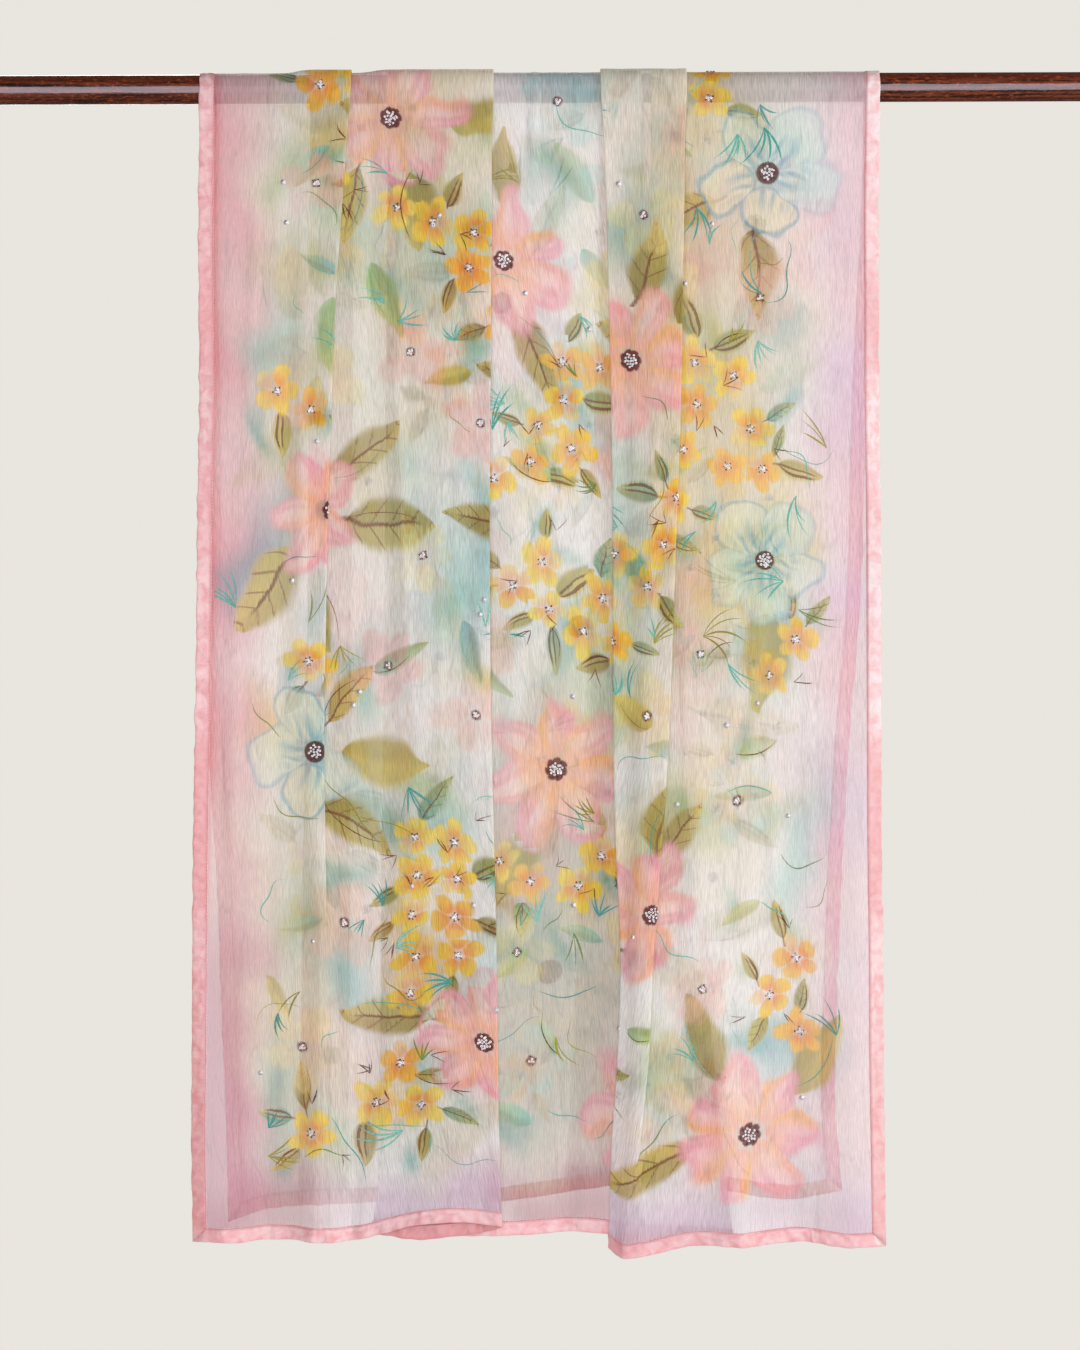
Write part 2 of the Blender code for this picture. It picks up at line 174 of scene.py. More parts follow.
# the binding's lower edge, (x, drop), run by run
frontHem = {
    "left": (
        (-331, 1092), (-292, 1094), (-261, 1090), (-204, 1093), (-184, 1092),
        (-155, 1087), (-130, 1079), (-110, 1075), (-90, 1073), (-50, 1077), (-37, 1079),
    ),
    "bReturn": ((-159, 1085), (-135, 1090), (-107, 1090), (-73, 1087), (-50, 1083), (-37, 1079)),
    "middle": ((-159, 1085), (-70, 1088), (-38, 1089), (1, 1086), (30, 1083), (64, 1087), (180, 1095)),
    "cReturn": ((63, 1099), (180, 1095)),
    "right": (
        (63, 1099), (72, 1106), (95, 1106), (124, 1099), (150, 1095), (188, 1099),
        (220, 1096), (246, 1094), (279, 1099), (294, 1101), (326, 1097),
    ),
}
backHem = {
    "left": ((-300, 1078), (-270, 1068), (-235, 1063), (-150, 1060), (-48, 1060)),
    "bReturn": ((-156, 1058), (-48, 1060)),
    "middle": ((-156, 1058), (-38, 1060), (-8, 1055), (10, 1053), (30, 1050), (60, 1045), (95, 1042)),
    "cReturn": ((23, 1040), (95, 1042)),
    "right": ((23, 1040), (107, 1042), (178, 1050), (225, 1059), (255, 1057), (271, 1053), (286, 1046)),
}
# long soft ridges and troughs: x at the rod, x at the hem, half width, height, starts at drop
frontRidges = (
    (-300, -296, 42, 6.0, 420), (-262, -258, 26, -3.0, 600), (-214, -206, 40, 6.5, 380),
    (-110, -100, 44, 4.0, 520), (20, 12, 46, -3.0, 300), (92, 96, 48, 7.0, 520),
    (168, 190, 34, 5.0, 620), (236, 240, 30, -3.0, 560), (300, 294, 38, 6.5, 460),
)
backRidges = (
    (-270, -262, 46, 6.0, 420), (-120, -112, 50, 5.0, 500),
    (40, 30, 44, 4.0, 420), (214, 214, 46, 7.0, 460),
)
# creases left by the hand: x at the top, drop at the top, x at the foot, drop at the foot,
# half width, height
frontCreases = (
    (-138, 236, -121, 610, 5.5, 1.9), (-126, 250, -118, 480, 9.0, -1.0),
    (-180, 128, -150, 262, 7.0, 1.5), (-170, 150, -146, 300, 6.0, -1.2),
    (-158, 14, -160, 330, 8.0, -1.4), (-236, 180, -232, 520, 9.0, -1.1),
    (-268, 90, -276, 400, 8.0, 1.2), (-96, 330, -92, 760, 8.0, 1.3),
    (-72, 60, -78, 360, 9.0, -1.0), (-3, -6, -6, 92, 5.0, 3.0), (4, -4, 9, 150, 5.0, -1.0),
    (16, 250, 24, 640, 10.0, 1.2), (44, 420, 52, 830, 9.0, -1.2), (84, 120, 92, 420, 7.0, 1.0),
    (98, 500, 86, 900, 6.0, 1.3), (152, 70, 158, 430, 9.0, -1.1), (186, 240, 178, 640, 9.0, 1.3),
    (214, 540, 226, 900, 9.0, 1.4), (250, 40, 246, 380, 9.0, 1.0), (287, -8, 284, 120, 6.0, 1.5),
    (296, 360, 288, 760, 8.0, -1.2), (-288, 480, -294, 860, 9.0, 1.4), (-250, 700, -242, 1010, 8.0, 1.3),
    (-196, 690, -190, 980, 7.0, -1.6), (-176, 760, -170, 1040, 7.0, 1.6), (-60, 800, -64, 1050, 8.0, 1.3),
)
backCreases = (
    (-240, 60, -236, 460, 9.0, 1.2), (-90, 200, -96, 620, 8.0, 1.2), (-10, 20, -4, 300, 7.0, 1.2),
    (62, 300, 56, 760, 9.0, -1.0), (180, 120, 188, 560, 9.0, 1.2), (236, 420, 230, 860, 8.0, 1.3),
    (-280, 520, -272, 900, 8.0, 1.1), (-180, 640, -176, 960, 8.0, 1.2), (120, 560, 128, 940, 8.0, 1.2),
)
clothSettings = {
    "columnStep": 5.6,  # millimetres
    "rowStep": 7.4,
    "rowsOverRod": 22,
    "deepestOverRod": -0.9,  # a trough stops here, clear of the rod
    "unevenness": 0.15,
    "waves": 14,
    "waveWide": (17, 60),
    "waveLong": (260, 900),
    "calmAtRod": 0.25,  # the share of the unevenness there
    "calmOver": 260.0,
    "creaseFade": 0.6,
    "measuredAt": (0, 400, 800, 1082),  # the drops whose widest spans set the columns
    "seed": 5,
}


def clothPath(sections, drop):
    # runs, (x, depth) and bends across the cloth at one height, from the left edge to the right
    s = {
        name: smoothThrough(drop, [row[0] for row in sections], [row[k] for row in sections])
        for k, name in enumerate(sectionColumns)
    }
    grown = float(smoothStep(drop / pleats["pitchGrowsOver"]))
    pitch = pleats["pitchAtRod"] + (pleats["pitchAtHem"] - pleats["pitchAtRod"]) * grown
    rise, riseEnd = pleats["rise"], pleats["riseEnd"]
    left, right = s["left"] + pleats["bindingEdge"], s["right"] - pleats["bindingEdge"]
    runs, points, bends = [], [], []

    def add(run, x, depth, bend=False):
        runs.append(run)
        points.append((x, depth))
        bends.append(bend)

    def line(run, start, end, count):
        for k in range(1, count + 1):
            x, depth = np.array(start) + (np.array(end) - np.array(start)) * k / (count + 1)
            add(run, x, depth)

    def turn(runIn, runOut, x, leg, depthIn, depthOut):
        add(runIn, x - leg, depthIn)
        add(runIn, x, depthIn, True)
        add(runOut, x, depthOut, True)
        add(runOut, x - leg, depthOut)

    def knifePleat(pleatRuns, fold, tuck, arrivesAt, base, count):
        # a layer climbs over its own tuck, folds at the right and comes back beneath
        over, back, after = pleatRuns
        overlap = fold - tuck
        opened = float(smoothStep(-overlap / pleats["openGap"]))
        top = base + 2 * pitch * (1 - opened * (1 - pleats["openRelief"]))
        tilt = (top - base) / 4 * min(max(1 - overlap / (2 * pitch), 0.0), 1.0)
        leg = min(pitch, pleats["legShare"] * overlap)
        climbsTo = min(fold, tuck)
        add(over, max(climbsTo - rise, points[-1][0] + pitch), arrivesAt)
        add(over, climbsTo - riseEnd, top)
        line(over, (climbsTo - riseEnd, top), (fold - pitch, top), count)
        add(over, fold - pitch, top)
        add(over, fold, top, True)
        between = [fold - leg - (overlap - 2 * leg) * k / (count + 1) for k in range(1, count + 1)]
        returning = [fold, fold - leg, *between, tuck + leg, tuck]
        for k, x in enumerate(returning):
            depth = (top + base) / 2 + tilt * (1 - 2 * k / (len(returning) - 1))
            add(back, x, depth, k in (0, len(returning) - 1))
        add(after, tuck, base, True)
        add(after, tuck + pitch, base)

    tucksApart = s["cRightTuck"] - s["cLeftTuck"]
    clear, meet = pleats["tucksClear"], pleats["tucksMeet"]
    base = 2 * pitch * float(smoothStep((clear - tucksApart) / (clear - meet)))
    add("left", left, 0.0)
    line("left", (left, 0.0), (s["aTuck"] - rise, 0.0), 3)
    knifePleat(("left", "left", "left"), s["aFold"], s["aTuck"], 0.0, 0.0, 1)
    knifePleat(("left", "bReturn", "middle"), s["bFold"], s["bTuck"], 0.0, 0.0, 3)
    line("middle", (s["bTuck"] + pitch, 0.0), (s["cLeftTuck"] - pitch, 0.0), 6)
    turn("middle", "cReturn", s["cLeftTuck"], pitch, 0.0, pitch)
    line("cReturn", (s["cLeftTuck"] - pitch, pitch), (s["cLeftFold"] + pitch, pitch), 2)
    turn("cReturn", "right", s["cLeftFold"], -pitch, pitch, 2 * pitch)
    knifePleat(("right", "right", "right"), s["cRightFold"], s["cRightTuck"], 2 * pitch, base, 1)
    clearOfTuck = max(s["cLeftTuck"], s["cRightTuck"] + 2 * pitch) + pleats["clearBy"]
    line("right", (s["cRightTuck"] + pitch, base), (clearOfTuck, base), 1)
    add("right", clearOfTuck, base)
    add("right", clearOfTuck + riseEnd, base)
    add("right", clearOfTuck + rise, 0.0)
    line("right", (clearOfTuck + rise, 0.0), (right, 0.0), 4)
    add("right", right, 0.0)
    return runs, np.array(points), bends


def columnWeights(paths):
    # how much each control point gives to each column, as a quadratic B-spline
    longest = np.max([np.linalg.norm(np.diff(p, axis=0), axis=1) for p in paths], axis=0)
    count = len(longest) + 1
    rows = []
    for i in range(1, count - 1):
        start, end = np.zeros(count), np.zeros(count)
        start[[i - 1, i]] = (1.0, 0.0) if i == 1 else (0.5, 0.5)
        end[[i, i + 1]] = (0.0, 1.0) if i == count - 2 else (0.5, 0.5)
        control = np.eye(count)[i]
        reach = (longest[i - 1] + longest[i]) / 2
        steps = max(2, math.ceil(reach / clothSettings["columnStep"]))
        for t in [k / steps for k in range(steps)] + ([1.0] if i == count - 2 else []):
            rows.append((1 - t) ** 2 * start + 2 * t * (1 - t) * control + t * t * end)
    return np.array(rows)


columns = columnWeights([clothPath(frontSections, d)[1] for d in clothSettings["measuredAt"]])
unevenRandom = random.Random(clothSettings["seed"])
# each wave: across, down, phase, share
unevenWaves = [
    (math.tau / unevenRandom.uniform(*clothSettings["waveWide"]),
     math.tau / unevenRandom.uniform(*clothSettings["waveLong"]),
     unevenRandom.uniform(0, math.tau), unevenRandom.uniform(0.4, 1.0))
    for _ in range(clothSettings["waves"])
]


def pushedOut(ridges, creases, x, drop, hemDrop):
    # how far ridges, creases and the cloth's unevenness move it out at a place. It is the same
    # for every layer that lies there, so the layers keep their distance.
    depth = np.zeros_like(x)
    down = min(max(drop / hemDrop, 0.0), 1.0)
    for atRod, atHem, halfWidth, height, startsAt in ridges:
        across = np.clip((x - atRod - (atHem - atRod) * down) / halfWidth, -1.0, 1.0)
        grown = smoothStep((drop - startsAt) / (hemDrop - startsAt))
        depth += height * grown * 0.5 * (1 + np.cos(math.pi * across))
    for xTop, dropTop, xFoot, dropFoot, halfWidth, height in creases:
        share = (drop - dropTop) / (dropFoot - dropTop)
        if not 0.0 < share < 1.0:
            continue
        across = np.clip((x - xTop - (xFoot - xTop) * share) / halfWidth, -1.0, 1.0)
        fade = math.sin(math.pi * share) ** clothSettings["creaseFade"]
        depth += height * fade * 0.5 * (1 + np.cos(math.pi * across))
    waves = sum(
        share * np.sin(x * across + drop * along + phase)
        for across, along, phase, share in unevenWaves
    )
    calm = clothSettings["calmAtRod"]
    settled = calm + (1 - calm) * float(smoothStep(drop / clothSettings["calmOver"]))
    return depth + clothSettings["unevenness"] * settled * waves


class Fall:
    def __init__(self, sections, hem, ridges, creases, side):
        self.sections, self.ridges, self.creases, self.side = sections, ridges, creases, side
        self.hemDrop = sections[-1][0]
        runs, points, _ = clothPath(sections, self.hemDrop)
        drops = [
            smoothThrough(x, [h[0] for h in hem[run]], [h[1] for h in hem[run]]) - pleats["bindingEdge"]
            for run, (x, _) in zip(runs, points)
        ]
        self.columnDrops = columns @ np.array(drops)

    def across(self, drop):
        x, depth = (columns @ clothPath(self.sections, drop)[1]).T
        return x, depth + pushedOut(self.ridges, self.creases, x, drop, self.hemDrop)

    def row(self, drop):
        x, depth = self.across(drop)
        fall = self.columnDrops * drop / self.hemDrop
        return np.stack([x, self.side * (clothRadius / mm + depth), -fall], axis=1) * mm


frontFall = Fall(frontSections, frontHem, frontRidges, frontCreases, -1)
backFall = Fall(backSections, backHem, backRidges, backCreases, 1)


def clothGrid():
    # rows of points from the front hem, over the rod, to the back hem, and each row's place
    # along the cut
    rows, places = [], []
    count = round(frontFall.hemDrop / clothSettings["rowStep"])
    for k in range(count):
        drop = frontFall.hemDrop * (1 - k / count)
        rows.append(frontFall.row(drop))
        places.append((frontFall.hemDrop - drop) * mm)
    x, frontDepth = frontFall.across(0.0)
    backDepth = backFall.across(0.0)[1]
    for k in range(clothSettings["rowsOverRod"] + 1):
        share = k / clothSettings["rowsOverRod"]
        angle = math.pi * (share - 0.5)
        depth = frontDepth * (1 - share) + backDepth * share
        out = clothRadius + np.maximum(depth, clothSettings["deepestOverRod"]) * mm
        rows.append(np.stack([x * mm, out * math.sin(angle), out * math.cos(angle)], axis=1))
        places.append(frontFall.hemDrop * mm + clothRadius * (angle + math.pi / 2))
    overRod = places[-1]
    count = round(backFall.hemDrop / clothSettings["rowStep"])
    for k in range(1, count + 1):
        drop = backFall.hemDrop * k / count
        rows.append(backFall.row(drop))
        places.append(overRod + drop * mm)
    return np.array(rows), np.array(places)


clothPoints, cutAlong = clothGrid()
rowCount, columnCount = clothPoints.shape[:2]
stretches = np.linalg.norm(np.diff(clothPoints[:, :, :2], axis=1), axis=2)
arcs = np.concatenate([np.zeros((rowCount, 1)), np.cumsum(stretches, axis=1)], axis=1)
cutWidth = float(arcs[:, -1].mean())
cutLength = float(cutAlong[-1])
cutAcross = arcs / arcs[:, -1:] * cutWidth
alongCloth = unit(np.gradient(clothPoints, axis=0))
acrossCloth = unit(np.gradient(clothPoints, axis=1))
outOfCloth = unit(np.cross(acrossCloth, alongCloth))
print(f"stole: chiffon {cutWidth:.3f} x {cutLength:.3f} m, {rowCount} x {columnCount} points")


def onCloth(u, v):
    # the place, way out, way across and way along at a spot of the flat cut, in metres
    row = float(np.interp(v, cutAlong, np.arange(rowCount)))
    low = min(int(row), rowCount - 2)
    found = np.zeros((4, 3))
    for r, rowShare in ((low, 1 - (row - low)), (low + 1, row - low)):
        column = float(np.interp(u, cutAcross[r], np.arange(columnCount)))
        c = min(int(column), columnCount - 2)
        for k, share in ((c, 1 - (column - c)), (c + 1, column - c)):
            for n, field in enumerate((clothPoints, outOfCloth, acrossCloth, alongCloth)):
                found[n] += rowShare * share * field[r, k]
    found[1:] = unit(found[1:])
    return found


# paint: where each motif lies on the flat cut, in metres

paintSettings = {
    "seed": 23,
    "bloomTries": 4000,
    "bloomGap": 0.225,
    "bloomRadius": (0.060, 0.076),
    "bloomFromEdge": 0.092,
    "blueShare": 0.36,
    "bloomBlue": "#3FA3BE",
    "bloomPinks": ("#EF8FA6", "#F39C9E", "#EB88A2"),
    "garlandTries": 600,
    "garlandGap": 0.205,
    "garlandFromEdge": 0.07,
    "garlandSteps": (5, 8),
    "garlandStep": (0.032, 0.040),
    "garlandTurn": 0.7,  # off straight along the stole, at most
    "garlandBend": 0.30,
    "garlandShake": 0.2,
    "pairShare": 0.65,  # of the steps that carry a blossom on both sides
    "blossomAside": (0.016, 0.024),
    "blossomRadius": (0.0195, 0.0250),
    "blossomGap": 0.034,
    "blossomFromEdge": 0.06,
    "blossomFromBloom": 0.008,
    "blossomYellows": ("#F9DC3C", "#F8D23A", "#F7C542", "#FAE25C"),
    "ghostTries": 2600,  # a ghost is a wide, faint flower
    "ghostRadius": (0.032, 0.044),
    "ghostGap": 0.088,
    "ghostFromEdge": 0.09,
    "ghostFromBlossom": 0.061,
    "ghostFromBloom": 0.042,
    "ghostTones": ("#F4DC62", "#F6E892", "#F4A9A8", "#F5C3B0", "#9ADAD4"),
    "leavesByBloom": (2, 5),
    "leafSpacing": (0.65, 1.1),  # the turn from one to the next, in radians
    "triesByBlossom": 5,
    "looseLeaves": 420,
    "looseFromEdge": 0.06,
    "leafFromEdge": 0.045,
    "leafFromBlossom": 0.029,
}
# each kind of leaf: its half length, how narrow it is, the tint that picks its ink, how close it
# lies to other leaves, its foot's reach in the flower's radii, how far it turns off, its colours
leafKinds = {
    "veined": {
        "half": (0.034, 0.049), "slim": (0.72, 1.2), "tint": (0.32, 0.72),
        "gap": 0.62, "reach": 0.80, "shake": 0.35,
        "tones": ("#A39A35", "#96963A", "#B9AA3E", "#C9B03C", "#9A8A34", "#8CA058"),
    },
    "stroked": {
        "half": (0.015, 0.024), "slim": (0.8, 1.25), "tint": (0.62, 1.0),
        "gap": 0.80, "reach": 0.86, "shake": 0.5,
        "tones": ("#A39A35", "#8E9A3C", "#B9AE4A", "#9A8A3A", "#7F9F54", "#66B09A"),
    },
    "plain": {
        "half": (0.020, 0.042), "slim": (0.85, 1.8), "tint": (0.0, 0.44),
        "gap": 0.74,
        "tones": ("#5FBDAC", "#7CC8B8", "#94C880", "#B4C25C", "#C9BF4E", "#78C0CC"),
    },
}
paintRandom = random.Random(paintSettings["seed"])


def apart(u, v, others, gap):
    return all(math.hypot(u - o["u"], v - o["v"]) >= gap + o.get("keep", 0.0) for o in others)


def inCut(u, v, margin):
    return margin < u < cutWidth - margin and margin < v < cutLength - margin


def somewhere(chance, margin):
    return chance.uniform(margin, cutWidth - margin), chance.uniform(margin, cutLength - margin)


def placeBlooms():
    found = []
    for _ in range(paintSettings["bloomTries"]):
        u, v = somewhere(paintRandom, paintSettings["bloomFromEdge"])
        if apart(u, v, found, paintSettings["bloomGap"]):
            blue = paintRandom.random() < paintSettings["blueShare"]
            found.append({
                "u": u, "v": v, "radius": paintRandom.uniform(*paintSettings["bloomRadius"]),
                "blue": blue, "angle": paintRandom.uniform(0, math.tau), "tint": paintRandom.random(),
                "tone": (paintSettings["bloomBlue"] if blue
                         else paintRandom.choice(paintSettings["bloomPinks"])),
            })
    return found


def placeGarlands():
    # blossoms in curving, crowded rows that keep clear of the blooms
    found = []
    clearOfBlooms = [dict(b, keep=b["radius"] + paintSettings["blossomFromBloom"]) for b in blooms]
    turn, mostBend, shake = (paintSettings[k] for k in ("garlandTurn", "garlandBend", "garlandShake"))
    starts = []
    for _ in range(paintSettings["garlandTries"]):
        u, v = somewhere(paintRandom, paintSettings["garlandFromEdge"])
        if not apart(u, v, starts, paintSettings["garlandGap"]):
            continue
        starts.append({"u": u, "v": v})
        heading = math.pi / 2 * paintRandom.choice((-1, 1)) + paintRandom.uniform(-turn, turn)
        bend = paintRandom.uniform(-mostBend, mostBend)
        for _ in range(paintRandom.randint(*paintSettings["garlandSteps"])):
            paired = paintRandom.random() < paintSettings["pairShare"]
            for side in (-1, 1) if paired else (paintRandom.choice((-0.4, 0.4)),):
                aside = side * paintRandom.uniform(*paintSettings["blossomAside"])
                bu, bv = u - math.sin(heading) * aside, v + math.cos(heading) * aside
                if (inCut(bu, bv, paintSettings["blossomFromEdge"])
                        and apart(bu, bv, found, paintSettings["blossomGap"])
                        and apart(bu, bv, clearOfBlooms, 0.0)):
                    found.append({
                        "u": bu, "v": bv, "radius": paintRandom.uniform(*paintSettings["blossomRadius"]),
                        "angle": paintRandom.uniform(0, math.tau), "tint": paintRandom.random(),
                        "tone": paintRandom.choice(paintSettings["blossomYellows"]),
                    })
            heading += bend + paintRandom.uniform(-shake, shake)
            step = paintRandom.uniform(*paintSettings["garlandStep"])
            u, v = u + step * math.cos(heading), v + step * math.sin(heading)
    return found


def placeGhosts():
    # wide, faint flowers that fill the ground between the others
    found = []
    clearOfBlooms = [dict(b, keep=b["radius"]) for b in blooms]
    for _ in range(paintSettings["ghostTries"]):
        u, v = somewhere(paintRandom, paintSettings["ghostFromEdge"])
        if (apart(u, v, found, paintSettings["ghostGap"])
                and apart(u, v, blossoms, paintSettings["ghostFromBlossom"])
                and apart(u, v, clearOfBlooms, paintSettings["ghostFromBloom"])):
            found.append({
                "u": u, "v": v, "radius": paintRandom.uniform(*paintSettings["ghostRadius"]),
                "angle": paintRandom.uniform(0, math.tau), "tint": 1.0 + paintRandom.random(),
                "tone": paintRandom.choice(paintSettings["ghostTones"]),
            })
    return found


def leafFrom(u, v, angle, kind):
    # a leaf with its foot at (u, v), pointing along the angle
    given = leafKinds[kind]
    half = paintRandom.uniform(*given["half"])
    return {"u": u + half * math.cos(angle), "v": v + half * math.sin(angle), "radius": half,
            "angle": angle - math.pi / 2, "slim": paintRandom.uniform(*given["slim"]),
            "tint": paintRandom.uniform(*given["tint"]), "tone": paintRandom.choice(given["tones"])}


def leafBy(flower, angle, kind):
    # a leaf that grows out from under a flower
    reach, shake = flower["radius"] * leafKinds[kind]["reach"], leafKinds[kind]["shake"]
    return leafFrom(flower["u"] + reach * math.cos(angle), flower["v"] + reach * math.sin(angle),
                    angle + paintRandom.uniform(-shake, shake), kind)


def leafFits(leaf, others, kind):
    gap = leafKinds[kind]["gap"]
    return inCut(leaf["u"], leaf["v"], paintSettings["leafFromEdge"]) and all(
        math.hypot(leaf["u"] - o["u"], leaf["v"] - o["v"]) > gap * (leaf["radius"] + o["radius"])
        for o in others
    )


def placeLeaves():
    found = []
    for flower in blooms:
        start = paintRandom.uniform(0, math.tau)
        for k in range(paintRandom.randint(*paintSettings["leavesByBloom"])):
            leaf = leafBy(flower, start + k * paintRandom.uniform(*paintSettings["leafSpacing"]), "veined")
            if leafFits(leaf, found, "veined"):
                found.append(leaf)
    for flower in blossoms:
        for _ in range(paintSettings["triesByBlossom"]):
            leaf = leafBy(flower, paintRandom.uniform(0, math.tau), "stroked")
            clear = apart(leaf["u"], leaf["v"], blossoms, paintSettings["leafFromBlossom"])
            if clear and leafFits(leaf, found, "stroked"):
                found.append(leaf)
    clearOfBlooms = [dict(b, keep=b["radius"]) for b in blooms]
    for _ in range(paintSettings["looseLeaves"]):
        spot = somewhere(paintRandom, paintSettings["looseFromEdge"])
        leaf = leafFrom(*spot, paintRandom.uniform(0, math.tau), "plain")
        if leafFits(leaf, found, "plain") and apart(leaf["u"], leaf["v"], clearOfBlooms, leaf["radius"]):
            found.append(leaf)
    return found


blooms = placeBlooms()
blossoms = placeGarlands()
ghosts = placeGhosts()
leaves = placeLeaves()
print(f"stole: {len(blooms)} blooms, {len(blossoms)} blossoms, {len(ghosts)} faint flowers and"
      f" {len(leaves)} leaves are placed")


# the washes under the motifs: sizes are wide and long, in metres
washSettings = {
    "ground": "#F4F3EE",
    # cream columns, by their share of the width. Those between two shares are faint
    "columns": (0.12, 0.17, 0.21, 0.26, 0.30, 0.33, 0.62, 0.68, 0.72, 0.76, 0.80, 0.84, 0.90),
    "columnFromEnd": 0.2,
    "columnSize": (0.085, 0.40),
    "columnTones": ("#F6F0BC", "#F7E9C0", "#F9E2C8", "#F3EFD0"),
    "columnStrength": 0.55,
    "faintFrom": 0.60,
    "faintTo": 0.80,
    "faintStrength": 0.20,
    # wide hazes: place, size, turn, colour, strength
    "wide": (
        (0.53, 0.22, 0.100, 0.30, 0.0, "#CFC2AC", 0.8),
        (0.07, 0.22, 0.085, 0.28, 0.0, "#E7E2C6", 0.8),
        (0.07, 0.92, 0.080, 0.25, 0.0, "#EDE6D6", 0.7),
        (0.89, 0.75, 0.090, 0.40, 0.0, "#E8E3D6", 0.7),
    ),
    # small ones anywhere
    "loose": 190,
    "looseFromEdge": 0.05,
    "looseWide": (0.014, 0.040),
    "looseLong": (0.030, 0.085),
    "looseTurn": (-0.6, 0.6),
    "looseStrength": (0.3, 0.8),
    "looseTones": ("#A9E8E0", "#A6DEE6", "#CFEBCB", "#8EDFD6", "#F8E47A", "#F8E2BC", "#FAD0D8"),
    # those that run out from a leaf, in its half lengths
    "leafShare": 0.75,
    "leafAway": (-0.9, 0.9),
    "leafWide": (0.4, 0.8),
    "leafLong": (0.7, 1.3),
    "leafTurn": (0, 3),
    "leafStrength": (0.35, 0.85),
    "leafTones": ("#62C4B4", "#6CC6C2", "#A8CC74", "#8ED2DE", "#EBDA58"),
    # and those round the flowers
    "blossomSize": (0.024, 0.032),
    "blossomStrength": (0.2, 0.5),
    "blossomTone": "#FAE68A",
    "bloomSize": 0.8,
    "bloomStrength": 0.5,
    "blueBloomTone": "#CFF0EE",
    "pinkBloomTone": "#FBDDD6",
    # how a wash's rim wavers: height, turns, sway, its turns, a finer height, its turns, slant
    "waverAcross": (0.010, 31, 3, 17, 0.006, 83, 40),
    "waverAlong": (0.012, 37, 2, 13, 0.006, 97, 29),
    # pink along the long edges, lilac in places and mauve low on the left
    "edgeBand": 0.046,
    "edgeStrength": 0.72,
    "edgePink": "#F092A6",
    "edgeLilac": "#E2CCF0",
    "lowLeftTo": 0.38,  # metres up from the front hem
    "lowLeftFades": 0.16,
    "lowLeftStrength": 0.9,
    "lowLeftMauve": "#D9A6D6",
    "mauveStrength": 0.35,
    # a deep rose line beside the left seam
    "seamBand": 0.010,
    "seamRose": "#F0707E",
    "seamStrength": 0.65,
    # lavender along the hems, with a few pink patches: place, half width, strength
    "hemBand": 0.055,
    "hemLavender": "#E4CCE6",
    "lavenderStrength": 0.6,
    "backHemShare": 0.5,
    "hemPink": "#E99FB2",
    "hemPatches": (
        (0.05, 0.05, 0.65), (0.29, 0.03, 0.45), (0.55, 0.05, 0.80), (0.74, 0.02, 0.30), (0.98, 0.04, 0.15),
    ),
}


def placeHazes():
    # the soft washes under the motifs: place, size, turn, colour and strength
    chance, s = paintRandom, washSettings
    found = []
    for at in s["columns"]:
        along = chance.uniform(s["columnFromEnd"], cutLength - s["columnFromEnd"])
        tone = chance.choice(s["columnTones"])
        faint = s["faintFrom"] < at < s["faintTo"]
        strength = s["faintStrength"] if faint else s["columnStrength"]
        found.append((cutWidth * at, along, *s["columnSize"], 0.0, tone, strength))
    found += s["wide"]
    for _ in range(s["loose"]):
        found.append((*somewhere(chance, s["looseFromEdge"]), chance.uniform(*s["looseWide"]),
                      chance.uniform(*s["looseLong"]), chance.uniform(*s["looseTurn"]),
                      chance.choice(s["looseTones"]), chance.uniform(*s["looseStrength"])))
    for leaf in leaves:
        if chance.random() < s["leafShare"]:
            size = leaf["radius"]
            found.append((leaf["u"] + chance.uniform(*s["leafAway"]) * size,
                          leaf["v"] + chance.uniform(*s["leafAway"]) * size,
                          size * chance.uniform(*s["leafWide"]), size * chance.uniform(*s["leafLong"]),
                          chance.uniform(*s["leafTurn"]), chance.choice(s["leafTones"]),
                          chance.uniform(*s["leafStrength"])))
    for flower in blossoms[::2]:
        found.append((flower["u"], flower["v"], *s["blossomSize"], 0.0, s["blossomTone"],
                      chance.uniform(*s["blossomStrength"])))
    for flower in blooms:
        size = flower["radius"] * s["bloomSize"]
        tone = s["blueBloomTone"] if flower["blue"] else s["pinkBloomTone"]
        found.append((flower["u"], flower["v"], size, size, 0.0, tone, s["bloomStrength"]))
    return found


